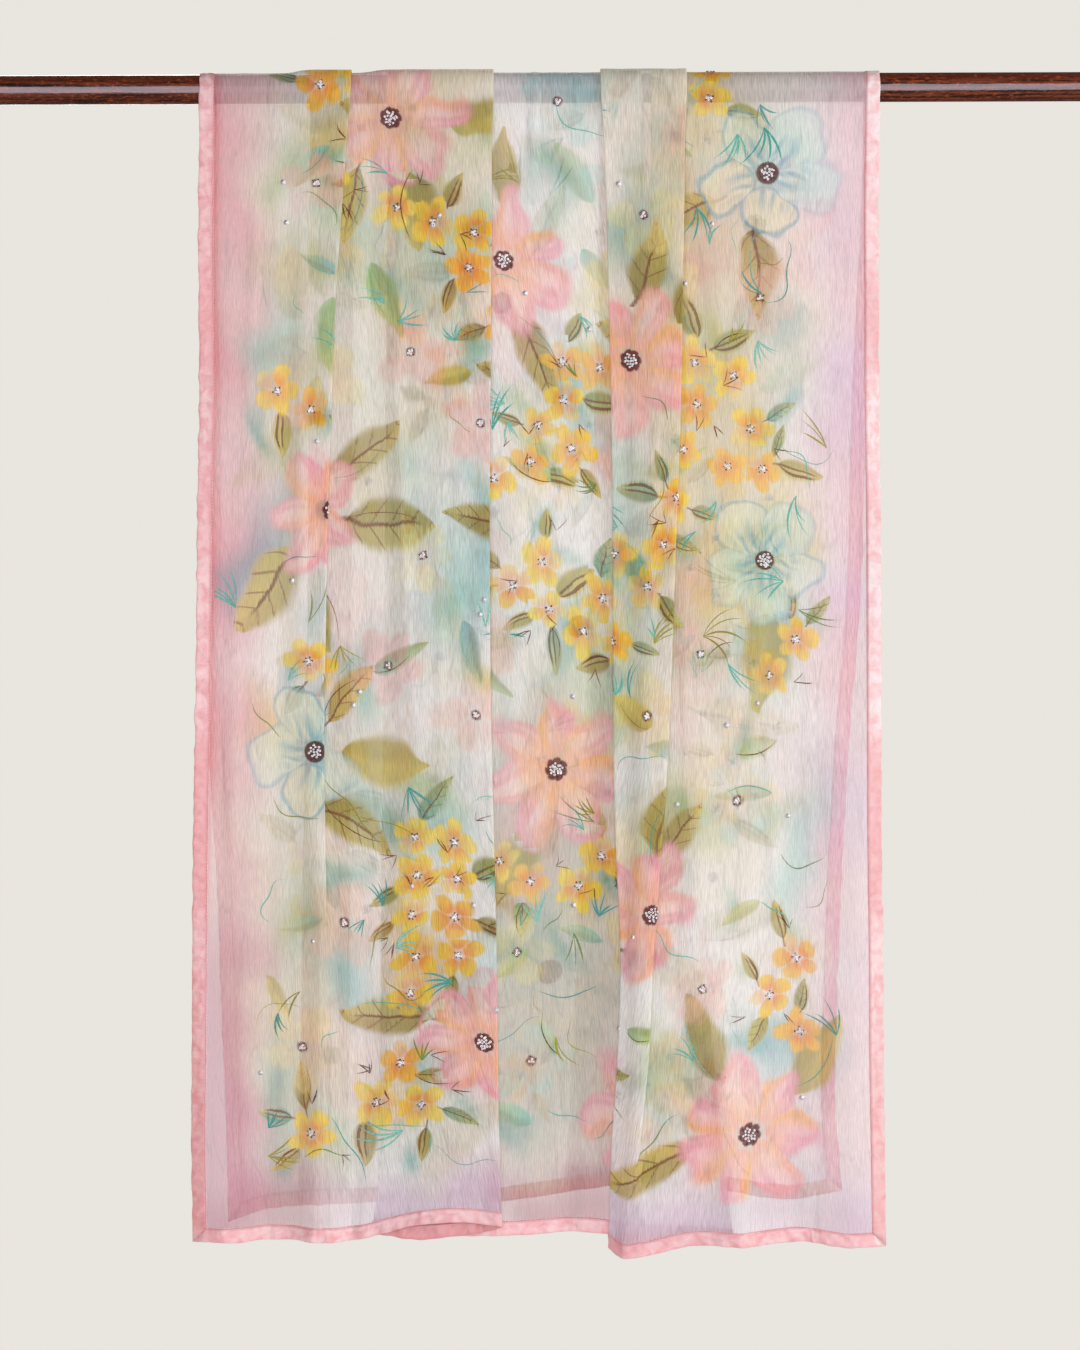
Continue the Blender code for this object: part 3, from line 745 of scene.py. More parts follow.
def washColours():
    # the ground's colour at every point of the sheet: white, washed at the long edges and hems
    s = washSettings
    u, v = cutAcross, np.broadcast_to(cutAlong[:, None], cutAcross.shape)
    onLeft, onRight = u < cutWidth / 2, u > cutWidth / 2

    def wavering(along, across, high, turns, sway, swayTurns, fine, fineTurns, slant):
        slow = high * np.sin(along * turns + sway * np.sin(across * swayTurns))
        return slow + fine * np.sin(along * fineTurns + across * slant)

    warpU = u + wavering(v, u, *s["waverAcross"])
    warpV = v + wavering(u, v, *s["waverAlong"])
    colour = np.ones((*u.shape, 3)) * np.array(hexColour(s["ground"]))

    def washOver(share, code):
        nonlocal colour
        colour = colour * (1 - share[..., None] * (1 - np.array(hexColour(code))))

    for hazeU, hazeV, wide, long, angle, code, strength in placeHazes():
        nearU, nearV = warpU - hazeU, warpV - hazeV
        across = (nearU * math.cos(angle) + nearV * math.sin(angle)) / wide
        along = (nearV * math.cos(angle) - nearU * math.sin(angle)) / long
        washOver(strength * smoothStep((1.5 - np.sqrt(across ** 2 + along ** 2)) / 1.5), code)
    toEdge = np.minimum(warpU, cutWidth - warpU) / s["edgeBand"]
    toHem = np.minimum(warpV, cutLength - warpV) / s["hemBand"]
    patchy = 0.5 + 0.5 * np.sin(v * 9 + 1.7 * np.sin(v * 23 + u * 5) + np.where(onRight, 2.2, 0.0))
    reached = smoothStep(1.3 - 0.8 * toEdge)
    lowLeft = np.where(onLeft, smoothStep((s["lowLeftTo"] - v) / s["lowLeftFades"]), 0.0)
    edge = np.maximum(
        s["edgeStrength"] * reached * (0.55 + 0.45 * patchy), s["lowLeftStrength"] * reached * lowLeft,
    )
    lilac = np.where(onRight, 0.15 + 0.6 * patchy, 0.45 * lowLeft)
    washOver(edge * (1 - lilac), s["edgePink"])
    washOver(edge * lilac, s["edgeLilac"])
    washOver(s["mauveStrength"] * reached * lowLeft, s["lowLeftMauve"])
    besideLeftSeam = np.where(onLeft, smoothStep(1 - u / s["seamBand"]), 0.0)
    washOver(s["seamStrength"] * besideLeftSeam * (1 - lowLeft), s["seamRose"])
    nearHem = smoothStep(1.25 - toHem) * np.where(v > cutLength / 2, s["backHemShare"], 1.0)
    pink = sum(
        share * smoothStep(1.5 - np.abs(u - at) / half) for at, half, share in s["hemPatches"]
    )
    washOver(s["lavenderStrength"] * nearHem, s["hemLavender"])
    washOver(nearHem * pink, s["hemPink"])
    return np.concatenate([colour, np.ones((*u.shape, 1))], axis=-1)


def motifSpots(motifs, cornerU, cornerV, reach):
    # for each face its corners' places on the nearest motif, in that motif's radii, with its
    # tint, then its colour, and whether the motif reaches the face
    middleU, middleV = cornerU.mean(axis=1), cornerV.mean(axis=1)
    farOff = 9.0
    spots = np.full((len(middleU), 4, 3), farOff)
    tones = np.ones((len(middleU), 4, 4))
    nearest = np.full(len(middleU), reach)
    for motif in motifs:
        distance = np.hypot(middleU - motif["u"], middleV - motif["v"]) / motif["radius"]
        mine = distance < nearest
        nearest[mine] = distance[mine]
        awayU = (cornerU[mine] - motif["u"]) / motif["radius"]
        awayV = (cornerV[mine] - motif["v"]) / motif["radius"]
        cosine, sine = math.cos(motif["angle"]), math.sin(motif["angle"])
        spots[mine, :, 0] = (awayU * cosine + awayV * sine) * motif.get("slim", 1.0)
        spots[mine, :, 1] = awayV * cosine - awayU * sine
        spots[mine, :, 2] = motif["tint"]
        tones[mine, :, :3] = hexColour(motif["tone"])
    return spots, tones, nearest < reach


# chiffon

chiffonSettings = {
    "crepeWide": 1.05 * mm,  # one crinkle of the crepe, across the cloth and along it
    "crepeLong": 13.0 * mm,
    "crepeHeight": 1.2 * mm,
    "wrinkleWide": 14.0 * mm,  # the cloth between two stray wrinkles
    "wrinkleLong": 130.0 * mm,
    "brushShake": 42.0 * mm,
    "mostOpen": 0.61,  # how much of the view the threads cover, in the crepe's gaps and crests
    "mostClosed": 0.70,
    "paintCloses": 0.08,
    "throughThreads": 0.32,  # the share of light that the threads let through
}


motifInks = {
    "blossomHeart": "#F27830",
    "blossomRim": "#EBA41E",
    "blossomCentre": "#7A3A22",
    "leafTip": "#EBD578",
    "leafShade": "#7F7426",
    "leafVein": "#74382A",
    "pinkPetals": ("#FDE4D8", "#FAC8CC"),
    "pinkSide": "#FCBE74",
    "pinkGlow": "#FCCB7E",
    "pinkHeart": "#6A2A26",
    "bluePetals": ("#C4EBE8", "#F1EDC2"),
    "blueHeart": "#4E2A22",
}


def petalFold(add, spot, petals, middle, halfLong, halfWide):
    # every petal of a flower, turned onto one: its outline is at 1
    parts = add("ShaderNodeSeparateXYZ", [spot]).node.outputs
    angle = add("ShaderNodeMath", [parts[1], parts[0]], operation="ARCTAN2")
    turns = add("ShaderNodeMath", [angle, petals / math.tau], operation="MULTIPLY")
    which = add("ShaderNodeMath", [turns], operation="ROUND")
    within = add("ShaderNodeMath", [which, -math.tau / petals, angle], operation="MULTIPLY_ADD")
    flat = add("ShaderNodeVectorMath", [spot, (1.0, 1.0, 0.0)], operation="MULTIPLY")
    reach = add("ShaderNodeVectorMath", [flat], out="Value", operation="LENGTH")
    cosine = add("ShaderNodeMath", [within], operation="COSINE")
    sine = add("ShaderNodeMath", [within], operation="SINE")
    turned = add("ShaderNodeCombineXYZ", [cosine, sine])
    petal = add("ShaderNodeVectorMath", {0: turned, "Scale": reach}, operation="SCALE")
    number = add("ShaderNodeMath", [which, float(petals), 0.0], operation="WRAP")
    seed = add("ShaderNodeMath", [parts[2], 37.0, number], operation="MULTIPLY_ADD")
    luck = add("ShaderNodeTexWhiteNoise", {"W": seed}, noise_dimensions="1D")
    shape = add("ShaderNodeVectorMath", [
        petal, (1 / halfLong, 1 / halfWide, 0.0), (-middle / halfLong, 0.0, 0.0),
    ], operation="MULTIPLY_ADD")
    outline = add("ShaderNodeVectorMath", [shape], out="Value", operation="LENGTH")
    size = add("ShaderNodeMath", [luck, 0.26, 0.90], operation="MULTIPLY_ADD")
    outline = add("ShaderNodeMath", [outline, size], operation="MULTIPLY")
    return outline, reach, luck, petal


def paintBlossom(add, under, spot, tone):
    # five round lemon petals, orange towards a small brown heart. One with a tint over 1 is faint
    outline, reach, luck, _ = petalFold(add, spot, 5, 0.58, 0.46, 0.385)
    petal = add("ShaderNodeMapRange", [outline, 1.14, 0.68, 0.0, 0.95], **softly)
    pale = add("ShaderNodeMath", [luck, 0.78], operation="GREATER_THAN")
    kept = add("ShaderNodeMath", [pale, -0.45, 1.0], operation="MULTIPLY_ADD")
    petal = add("ShaderNodeMath", [petal, kept], operation="MULTIPLY")
    tint = add("ShaderNodeSeparateXYZ", [spot], out=2)
    full = add("ShaderNodeMapRange", [tint, 1.0, 1.001, 1.0, 0.42])
    petal = add("ShaderNodeMath", [petal, full], operation="MULTIPLY")
    heart = add("ShaderNodeMapRange", [reach, 0.86, 0.16, 0.0, full], **softly)
    warmth = add("ShaderNodeMath", [luck, 0.75, 0.35], operation="MULTIPLY_ADD")
    heart = add("ShaderNodeMath", [heart, warmth], operation="MULTIPLY", use_clamp=True)
    coloured = add("ShaderNodeMix", {0: heart, 6: tone, 7: motifInks["blossomHeart"]}, **blended)
    rim = add("ShaderNodeMapRange", [outline, 0.60, 0.95, 0.0, 0.18], **softly)
    coloured = add("ShaderNodeMix", {0: rim, 6: coloured, 7: motifInks["blossomRim"]}, **blended)
    painted = add("ShaderNodeMix", {0: petal, 6: under, 7: coloured}, **blended)
    centre = add("ShaderNodeMapRange", [reach, 0.15, 0.09, 0.0, 0.8], **softly)
    thick = add("ShaderNodeMath", [centre, 2.0, petal], operation="MULTIPLY_ADD")
    return add("ShaderNodeMix", {0: centre, 6: painted, 7: motifInks["blossomCentre"]}, **blended), thick


def paintLeaf(add, under, spot, tone):
    # a leaf, darker at its foot, pointed at both ends, with fine brown veins on most
    aside, along, tint = add("ShaderNodeSeparateXYZ", [spot]).node.outputs
    side = add("ShaderNodeMath", [aside], operation="ABSOLUTE")
    left = add("ShaderNodeMath", [along, along], operation="MULTIPLY")
    left = add("ShaderNodeMath", [1.0, left], operation="SUBTRACT", use_clamp=True)
    curve = add("ShaderNodeMath", [left, 0.8], operation="POWER")
    widest = add("ShaderNodeMath", [along, -0.16, 0.46], operation="MULTIPLY_ADD")
    width = add("ShaderNodeMath", [curve, widest, 0.002], operation="MULTIPLY_ADD")
    outline = add("ShaderNodeMath", [side, width], operation="DIVIDE")
    strength = add("ShaderNodeMapRange", [tint, 0.0, 0.4, 0.55, 0.92])
    blade = add("ShaderNodeMapRange", {0: outline, 1: 1.12, 2: 0.60, 4: strength}, **softly)
    length = add("ShaderNodeMapRange", [along, -1.0, 0.9, 0.0, 0.6])
    coloured = add("ShaderNodeMix", {0: length, 6: tone, 7: motifInks["leafTip"]}, **blended)
    deep = add("ShaderNodeMapRange", [aside, 0.10, -0.12, 0.0, 0.35], **softly)
    coloured = add("ShaderNodeMix", {0: deep, 6: coloured, 7: motifInks["leafShade"]}, **blended)
    painted = add("ShaderNodeMix", {0: blade, 6: under, 7: coloured}, **blended)
    small = add("ShaderNodeMath", [tint, 0.72], operation="GREATER_THAN")
    ribWide = add("ShaderNodeMath", [along, -0.022, 0.045], operation="MULTIPLY_ADD")
    ribWide = add("ShaderNodeMath", [small, 0.02, ribWide], operation="MULTIPLY_ADD")
    rib = add("ShaderNodeMapRange", {0: side, 1: ribWide, 2: 0.012}, **softly)
    reachesTo = add("ShaderNodeMapRange", [along, 0.80, 0.35], **softly)
    rib = add("ShaderNodeMath", [rib, reachesTo], operation="MULTIPLY")
    slant = add("ShaderNodeMath", [side, -2.3], operation="MULTIPLY")
    veins = add("ShaderNodeMath", [along, 2.3, slant], operation="MULTIPLY_ADD")
    veins = add("ShaderNodeMath", [veins, 0.5], operation="PINGPONG")
    veins = add("ShaderNodeMapRange", [veins, 0.075, 0.03], **softly)
    inside = add("ShaderNodeMapRange", [outline, 0.95, 0.65, 0.0, 0.7], **softly)
    veins = add("ShaderNodeMath", [veins, inside], operation="MULTIPLY")
    beside = add("ShaderNodeMath", [outline, 0.52, 0.13], operation="COMPARE")
    oneSide = add("ShaderNodeMapRange", [aside, -0.05, 0.05], **softly)
    beside = add("ShaderNodeMath", [beside, oneSide], operation="MULTIPLY")
    beside = add("ShaderNodeMath", [beside, reachesTo], operation="MULTIPLY")
    veins = add("ShaderNodeMix", {0: small, 2: veins, 3: beside})
    ink = add("ShaderNodeMath", [rib, veins], operation="MAXIMUM")
    inked = add("ShaderNodeMapRange", [tint, 0.45, 0.47, 0.0, 0.85])
    ink = add("ShaderNodeMath", [ink, inked], operation="MULTIPLY")
    thick = add("ShaderNodeMath", [ink, 1.5, blade], operation="MULTIPLY_ADD")
    return add("ShaderNodeMix", {0: ink, 6: painted, 7: motifInks["leafVein"]}, **blended), thick


def paintPinkBloom(add, under, spot, tone):
    # seven soft petals, rose at their tips and orange down one side, round a brown heart
    outline, reach, luck, petal = petalFold(add, spot, 7, 0.57, 0.47, 0.305)
    mask = add("ShaderNodeMapRange", [outline, 1.16, 0.76, 0.0, 0.92], **softly)
    spread = add("ShaderNodeVectorMath", [petal, (1.3, 4.2, 0.0)], operation="MULTIPLY")
    streaks = add("ShaderNodeTexNoise", {"Vector": spread, "Scale": 1.0, "Detail": 1.0},
                  noise_dimensions="2D")
    cream, rose = motifInks["pinkPetals"]
    cream = add("ShaderNodeMix", {0: luck, 6: cream, 7: rose}, **blended)
    share = add("ShaderNodeMapRange", [streaks, 0.38, 0.72, 0.0, 0.60], **softly)
    rim = add("ShaderNodeMapRange", [outline, 0.25, 1.05, 0.05, 0.74], **softly)
    share = add("ShaderNodeMath", [share, rim], operation="MAXIMUM")
    coloured = add("ShaderNodeMix", {0: share, 6: cream, 7: tone}, **blended)
    aside = add("ShaderNodeSeparateXYZ", [petal], out=1)
    warm = add("ShaderNodeMapRange", [aside, -0.02, 0.22, 0.0, 1.0], **softly)
    warm = add("ShaderNodeMath", [warm, luck], operation="MULTIPLY")
    coloured = add("ShaderNodeMix", {0: warm, 6: coloured, 7: motifInks["pinkSide"]}, **blended)
    glow = add("ShaderNodeMapRange", [reach, 0.70, 0.2], **softly)
    glow = add("ShaderNodeMath", [glow, streaks], operation="MULTIPLY")
    coloured = add("ShaderNodeMix", {0: glow, 6: coloured, 7: motifInks["pinkGlow"]}, **blended)
    painted = add("ShaderNodeMix", {0: mask, 6: under, 7: coloured}, **blended)
    ragged = add("ShaderNodeMath", [streaks, 0.10, reach], operation="MULTIPLY_ADD")
    heart = add("ShaderNodeMapRange", [ragged, 0.205, 0.175, 0.0, 0.95], **softly)
    thick = add("ShaderNodeMath", [heart, 3.0, mask], operation="MULTIPLY_ADD")
    return add("ShaderNodeMix", {0: heart, 6: painted, 7: motifInks["pinkHeart"]}, **blended), thick


def paintBlueBloom(add, under, spot, tone):
    # five pale petals outlined in aqua, bluer towards a brown heart
    outline, reach, luck, petal = petalFold(add, spot, 5, 0.56, 0.45, 0.41)
    mask = add("ShaderNodeMapRange", [outline, 1.04, 0.80, 0.0, 0.6], **softly)
    aqua, lemon = motifInks["bluePetals"]
    pale = add("ShaderNodeMix", {0: luck, 6: aqua, 7: lemon}, **blended)
    painted = add("ShaderNodeMix", {0: mask, 6: under, 7: pale}, **blended)
    line = add("ShaderNodeMapRange", [outline, 0.80, 0.95], **softly)
    fades = add("ShaderNodeMapRange", [outline, 1.08, 0.97], **softly)
    line = add("ShaderNodeMath", [line, fades], operation="MULTIPLY")
    wet = add("ShaderNodeMath", [luck, 0.5, 0.15], operation="MULTIPLY_ADD")
    line = add("ShaderNodeMath", [line, wet], operation="MULTIPLY")
    spread = add("ShaderNodeVectorMath", [petal, (2.4, 8.0, 0.0)], operation="MULTIPLY")
    streaks = add("ShaderNodeTexNoise", {"Vector": spread, "Scale": 1.0, "Detail": 1.0},
                  noise_dimensions="2D")
    glow = add("ShaderNodeMapRange", [reach, 0.75, 0.12], **softly)
    streaks = add("ShaderNodeMapRange", [streaks, 0.30, 0.70, 0.0, 0.85], **softly)
    glow = add("ShaderNodeMath", [glow, streaks], operation="MULTIPLY")
    glow = add("ShaderNodeMath", [glow, line], operation="MAXIMUM")
    painted = add("ShaderNodeMix", {0: glow, 6: painted, 7: tone}, **blended)
    heart = add("ShaderNodeMapRange", [reach, 0.170, 0.140, 0.0, 0.95], **softly)
    thick = add("ShaderNodeMath", [heart, 3.0, mask], operation="MULTIPLY_ADD")
    return add("ShaderNodeMix", {0: heart, 6: painted, 7: motifInks["blueHeart"]}, **blended), thick


# each kind of motif: its place and colour on the sheet, how unsteady its outline is, how far its
# paint runs along the crinkles, in its radii, and its painter. A painter gives the colour and
# how thick the paint lies, over 1 where it fills the weave
motifKinds = {
    "leaf": ("leaf", 0.24, 0.07, paintLeaf),
    "pinkBloom": ("bloom", 0.20, 0.02, paintPinkBloom),
    "blueBloom": ("bloom", 0.26, 0.02, paintBlueBloom),
    "blossom": ("blossom", 0.36, 0.08, paintBlossom),
}
motifReach = {"leaf": 1.25, "pinkBloom": 1.25, "blueBloom": 1.25, "blossom": 1.4}  # in its radii
# the kinds that a face of the sheet may carry, plainest first
chiffonLayers = (
    (), ("leaf",), ("blossom",), ("pinkBloom",), ("blueBloom",),
    ("leaf", "pinkBloom"), ("leaf", "blueBloom"), ("leaf", "blossom"),
    ("leaf", "pinkBloom", "blueBloom", "blossom"),
)


def crepeChiffon(kinds):
    # Silk crepe chiffon, dyed by hand with a brush: matt, see-through and finely crinkled along
    # its length. Light comes through its gaps, and through the threads themselves.
    made, tree = newMaterial("crepeChiffon" + "".join(k[0].upper() + k[1:] for k in kinds))
    add = functools.partial(addNode, tree)
    cut = add("ShaderNodeUVMap", uv_map="cut")
    spread = (1 / chiffonSettings["crepeWide"], 1 / chiffonSettings["crepeLong"], 0.0)
    spread = add("ShaderNodeVectorMath", [cut, spread], operation="MULTIPLY")
    crepe = add("ShaderNodeTexNoise", {"Vector": spread, "Scale": 1.0, "Detail": 1.0},
                noise_dimensions="2D")
    far = (1 / chiffonSettings["wrinkleWide"], 1 / chiffonSettings["wrinkleLong"], 0.0)
    far = add("ShaderNodeVectorMath", [cut, far], operation="MULTIPLY")
    far = add("ShaderNodeTexNoise", {"Vector": far, "Scale": 1.0, "Detail": 1.0}, noise_dimensions="2D")
    far = add("ShaderNodeMath", [far, 0.5], operation="SUBTRACT")
    far = add("ShaderNodeMath", [far], operation="ABSOLUTE")
    wrinkle = add("ShaderNodeMapRange", [far, 0.030, 0.004], **softly)
    colour = add("ShaderNodeAttribute", attribute_name="wash")
    covered = None
    if kinds:
        shake = add("ShaderNodeTexNoise", {
            "Vector": cut, "Scale": 1 / chiffonSettings["brushShake"], "Detail": 0.6,
        }, out="Color", noise_dimensions="2D")
        shake = add("ShaderNodeVectorMath", [shake, (0.5, 0.5, 0.5)], operation="SUBTRACT")
        run = add("ShaderNodeMath", [crepe, 0.5], operation="SUBTRACT")
    for kind in kinds:
        name, unsteady, bleed, paint = motifKinds[kind]
        spot = add("ShaderNodeAttribute", out="Vector", attribute_name=name + "Spot")
        tone = add("ShaderNodeAttribute", attribute_name=name + "Tone")
        # unsteady at its rim and true at its middle, where the beads are sewn
        away = add("ShaderNodeVectorMath", [spot, (1.0, 1.0, 0.0)], operation="MULTIPLY")
        away = add("ShaderNodeVectorMath", [away], out="Value", operation="LENGTH")
        amount = add("ShaderNodeMapRange", [away, 0.1, 0.8, 0.0, 2 * unsteady])
        shaken = add("ShaderNodeVectorMath", {0: shake, "Scale": amount}, operation="SCALE")
        along = add("ShaderNodeVectorMath", {0: (bleed, bleed, 0.0), "Scale": run}, operation="SCALE")
        shaken = add("ShaderNodeVectorMath", [shaken, (1.0, 1.0, 0.0), along], operation="MULTIPLY_ADD")
        spot = add("ShaderNodeVectorMath", [spot, shaken], operation="ADD")
        colour, mask = paint(add, colour, spot, tone)
        covered = mask if covered is None else add("ShaderNodeMath", [covered, mask], operation="MAXIMUM")
    # the crinkles are painted lighter and darker and the stray wrinkles darker: painted light and shade,
    # from the same values as the bump
    reliefAndPaintedShade = add("ShaderNodeMapRange", [crepe, 0.25, 0.75, 0.89, 1.09])
    reliefAndPaintedShade = add("ShaderNodeMath", [wrinkle, -0.12, reliefAndPaintedShade], operation="MULTIPLY_ADD")
    colour = add("ShaderNodeVectorMath", {0: colour, "Scale": reliefAndPaintedShade}, operation="SCALE")
    bump = add("ShaderNodeBump", {
        "Strength": 0.5, "Distance": chiffonSettings["crepeHeight"], "Height": reliefAndPaintedShade,
    })
    threads = add("ShaderNodeBsdfPrincipled", {
        "Base Color": colour, "Roughness": 0.8, "Specular IOR Level": 0.3, "Normal": bump,
    })
    glow = add("ShaderNodeBsdfTranslucent", [colour])
    cloth = add("ShaderNodeMixShader", [chiffonSettings["throughThreads"], threads, glow])
    closed = add("ShaderNodeMapRange", [
        crepe, 0.3, 0.7, chiffonSettings["mostOpen"], chiffonSettings["mostClosed"],
    ])
    if covered is not None:
        closed = add("ShaderNodeMath", [covered, chiffonSettings["paintCloses"], closed],
                     operation="MULTIPLY_ADD", use_clamp=True)
    gaps = add("ShaderNodeBsdfTransparent")
    surface = add("ShaderNodeMixShader", [closed, gaps, cloth])
    add("ShaderNodeOutputMaterial", [surface])
    return made


def chiffonSheet():
    number = np.arange(rowCount * columnCount).reshape(rowCount, columnCount)

    def corners(grid):
        around = [grid[:-1, :-1], grid[:-1, 1:], grid[1:, 1:], grid[1:, :-1]]
        return np.stack(around, axis=-1).reshape(-1, 4)

    piece = meshPiece("chiffonSheet", clothPoints.reshape(-1, 3), corners(number), None)
    mesh = piece.data
    cornerU = corners(cutAcross)
    cornerV = corners(np.broadcast_to(cutAlong[:, None], cutAcross.shape))
    mesh.uv_layers.new(name="cut").uv.foreach_set("vector", np.stack([cornerU, cornerV], axis=-1).ravel())
    setAttribute(mesh, "wash", "FLOAT_COLOR", washColours())
    motifs = {
        "leaf": leaves,
        "blossom": blossoms + ghosts,
        "pinkBloom": [b for b in blooms if not b["blue"]],
        "blueBloom": [b for b in blooms if b["blue"]],
    }
    near, spots, tones = {}, {}, {}
    for kind, those in motifs.items():
        spots[kind], tones[kind], near[kind] = motifSpots(those, cornerU, cornerV, motifReach[kind])
    blue = near["blueBloom"][:, None, None]
    for kept in (spots, tones):
        kept["bloom"] = np.where(blue, kept["blueBloom"], kept["pinkBloom"])
    for name in ("leaf", "blossom", "bloom"):
        setAttribute(mesh, name + "Spot", "FLOAT_VECTOR", spots[name], "CORNER")
        setAttribute(mesh, name + "Tone", "FLOAT_COLOR", tones[name], "CORNER")
    finish = np.full(len(cornerU), len(chiffonLayers) - 1)
    for k in reversed(range(len(chiffonLayers))):
        others = [reached for kind, reached in near.items() if kind not in chiffonLayers[k]]
        finish[~np.any(others or [np.zeros(len(cornerU), bool)], axis=0)] = k
    for kinds in chiffonLayers:
        mesh.materials.append(crepeChiffon(kinds))
    mesh.polygons.foreach_set("material_index", finish)
    mesh.update()
    return piece


# satin binding

bindingSettings = {
    "width": 12.8 * mm,
    "over": 0.9 * mm,  # how far it laps the chiffon's edge
    "halfWall": 0.62 * mm,
    "step": 2.6 * mm,
    "acrossTop": 7,
    "pucker": 0.8 * mm,
    "puckerWaves": 16,
    "puckerLong": (6, 34),  # millimetres
    "puckerSlant": 1.1,
    "puckerSwell": (4, 16),  # how fast a pucker comes and goes along the strip
    "flatBeside": 3 * mm,  # the seam holds the strip flat this far
    "flatShare": 0.15,
    "edgeWaver": 0.7 * mm,
    "glossAndPaintedLight": (11 * mm, 9 * mm),  # a patch of gloss, along the strip and across it, also painted lighter in colour: a painted highlight
    "fade": 240 * mm,  # the strip from one duller stretch to the next
    "pull": (4.5 * mm, 16 * mm),  # a pull of the sewing, along and across
    "pullHeight": 0.8 * mm,
    # a duller pink, used for dull stretches at random and for the painted shade near the front hem
    "duller": "#EDA09F",
    "seamShade": "#DB8E90",
    "seamRange": (2.2 * mm, 0.6 * mm),
}
# Each kind of satin: its shade and its light, its inner side, the same where it hangs behind, how
# far up from the front hem a painted shade darkens it, and from how far along it counts as behind,
# in metres. A hem's strip runs from the left, so pinkSatinBehind changes its inner side there. The
# kinds are lighter and darker copies of one satin: the right strip's satin is painted lighter, as
# painted light, and the inner sides carry painted shade.
satinKinds = {
    "pinkSatin": {
        "shade": "#ECB5B3", "light": "#F8DDD9", "inside": "#F1B5B3", "insideBehind": "#FFF0EA",
        "shadedUpTo": 0.36, "behindFrom": 1.10,
    },
    "pinkSatinPaintedLighter": {
        "shade": "#F9D4D0", "light": "#FFF8F4", "inside": "#F4C2C0", "insideBehind": "#F2AEBA",
        "shadedUpTo": 0.36, "behindFrom": 1.10,
    },
    "pinkSatinFrontHem": {
        "shade": "#F8C2C2", "light": "#FFE3E1", "inside": "#EDABA9", "insideBehind": "#EDABA9",
        "shadedUpTo": -1.0, "behindFrom": 9.0,
    },
    "pinkSatinBehind": {
        "shade": "#F8C2C2", "light": "#FFE3E1", "inside": "#FBE6DE", "insideBehind": "#E4A87A",
        "shadedUpTo": -1.0, "behindFrom": 0.22,
    },
}


def bindingProfile():
    # (distance from the chiffon's edge, height) round a flat strip with rounded edges
    over, width, wall = (bindingSettings[k] for k in ("over", "width", "halfWall"))
    top = [(-over + wall + (width + over - 2 * wall) * k / (bindingSettings["acrossTop"] - 1), wall)
           for k in range(bindingSettings["acrossTop"])]
    rim = [(width - wall + wall * math.cos(a), wall * math.sin(a)) for a in (0.9, 0.0, -0.9)]
    return np.array(top + rim + [(d, -wall) for d, _ in top[::-1]] + [(-over, 0.0)])


def puckers(lengths, distances, seed):
    # soft slanting puckers that pull across the strip, as sewing leaves them
    chance = random.Random(seed)
    total = np.zeros((len(lengths), len(distances)))
    most = bindingSettings["puckerSlant"]
    for _ in range(bindingSettings["puckerWaves"]):
        wave = math.tau / chance.uniform(*bindingSettings["puckerLong"]) / mm
        slant = chance.uniform(-most, most)
        swell = 0.5 + 0.5 * np.sin(
            lengths * chance.uniform(*bindingSettings["puckerSwell"]) + chance.uniform(0, 6))
        phase = chance.uniform(0, math.tau)
        total += swell[:, None] * np.sin(wave * (lengths[:, None] + slant * distances) + phase)
    return total / 4.0


def bindingStrip(name, edge, away, out, mitres, seed, finish):
    # edge: the chiffon's edge; away: the way off it; mitres: the way each end runs on
    profile = bindingProfile()
    lengths = np.concatenate([[0.0], np.cumsum(np.linalg.norm(np.diff(edge, axis=0), axis=1))])
    lift = puckers(lengths, profile[:, 0], seed) * bindingSettings["pucker"]
    lift *= np.clip(profile[:, 0] / bindingSettings["flatBeside"], bindingSettings["flatShare"], 1.0)
    waver = puckers(lengths * 0.5, np.zeros(1), seed + 1) * bindingSettings["edgeWaver"]
    distance = profile[None, :, 0] + waver * smoothStep(profile[:, 0] / bindingSettings["width"])
    rings = (
        edge[:, None] + away[:, None] * distance[..., None]
        + out[:, None] * (profile[None, :, 1] + lift)[..., None]
    )
    for end, onward in ((0, mitres[0]), (-1, mitres[1])):
        ring = rings[end] + onward * (distance[end][:, None] - 0.1 * mm)
        rings = np.concatenate([ring[None], rings] if end == 0 else [rings, ring[None]])
    ran = np.concatenate([[lengths[0]], lengths, [lengths[-1]]])
    underside = np.clip(0.5 - profile[:, 1] / bindingSettings["halfWall"], 0.0, 1.0)
    strip = np.stack(np.broadcast_arrays(ran[:, None], profile[None, :, 0], underside[None]), axis=-1)
    count, around = rings.shape[:2]
    number = np.arange(count * around).reshape(count, around)
    following = np.roll(number, -1, axis=1)
    quads = np.stack([number[:-1], following[:-1], following[1:], number[1:]], axis=-1).reshape(-1, 4)
    piece = meshPiece(name, rings.reshape(-1, 3), quads, finish)
    setAttribute(piece.data, "strip", "FLOAT_VECTOR", strip)
    closeEnds(piece)
    return piece


def closeEnds(piece):
    solid = bmesh.new()
    solid.from_mesh(piece.data)
    bmesh.ops.holes_fill(solid, edges=[e for e in solid.edges if e.is_boundary], sides=0)
    bmesh.ops.recalc_face_normals(solid, faces=solid.faces)
    solid.to_mesh(piece.data)
    solid.free()


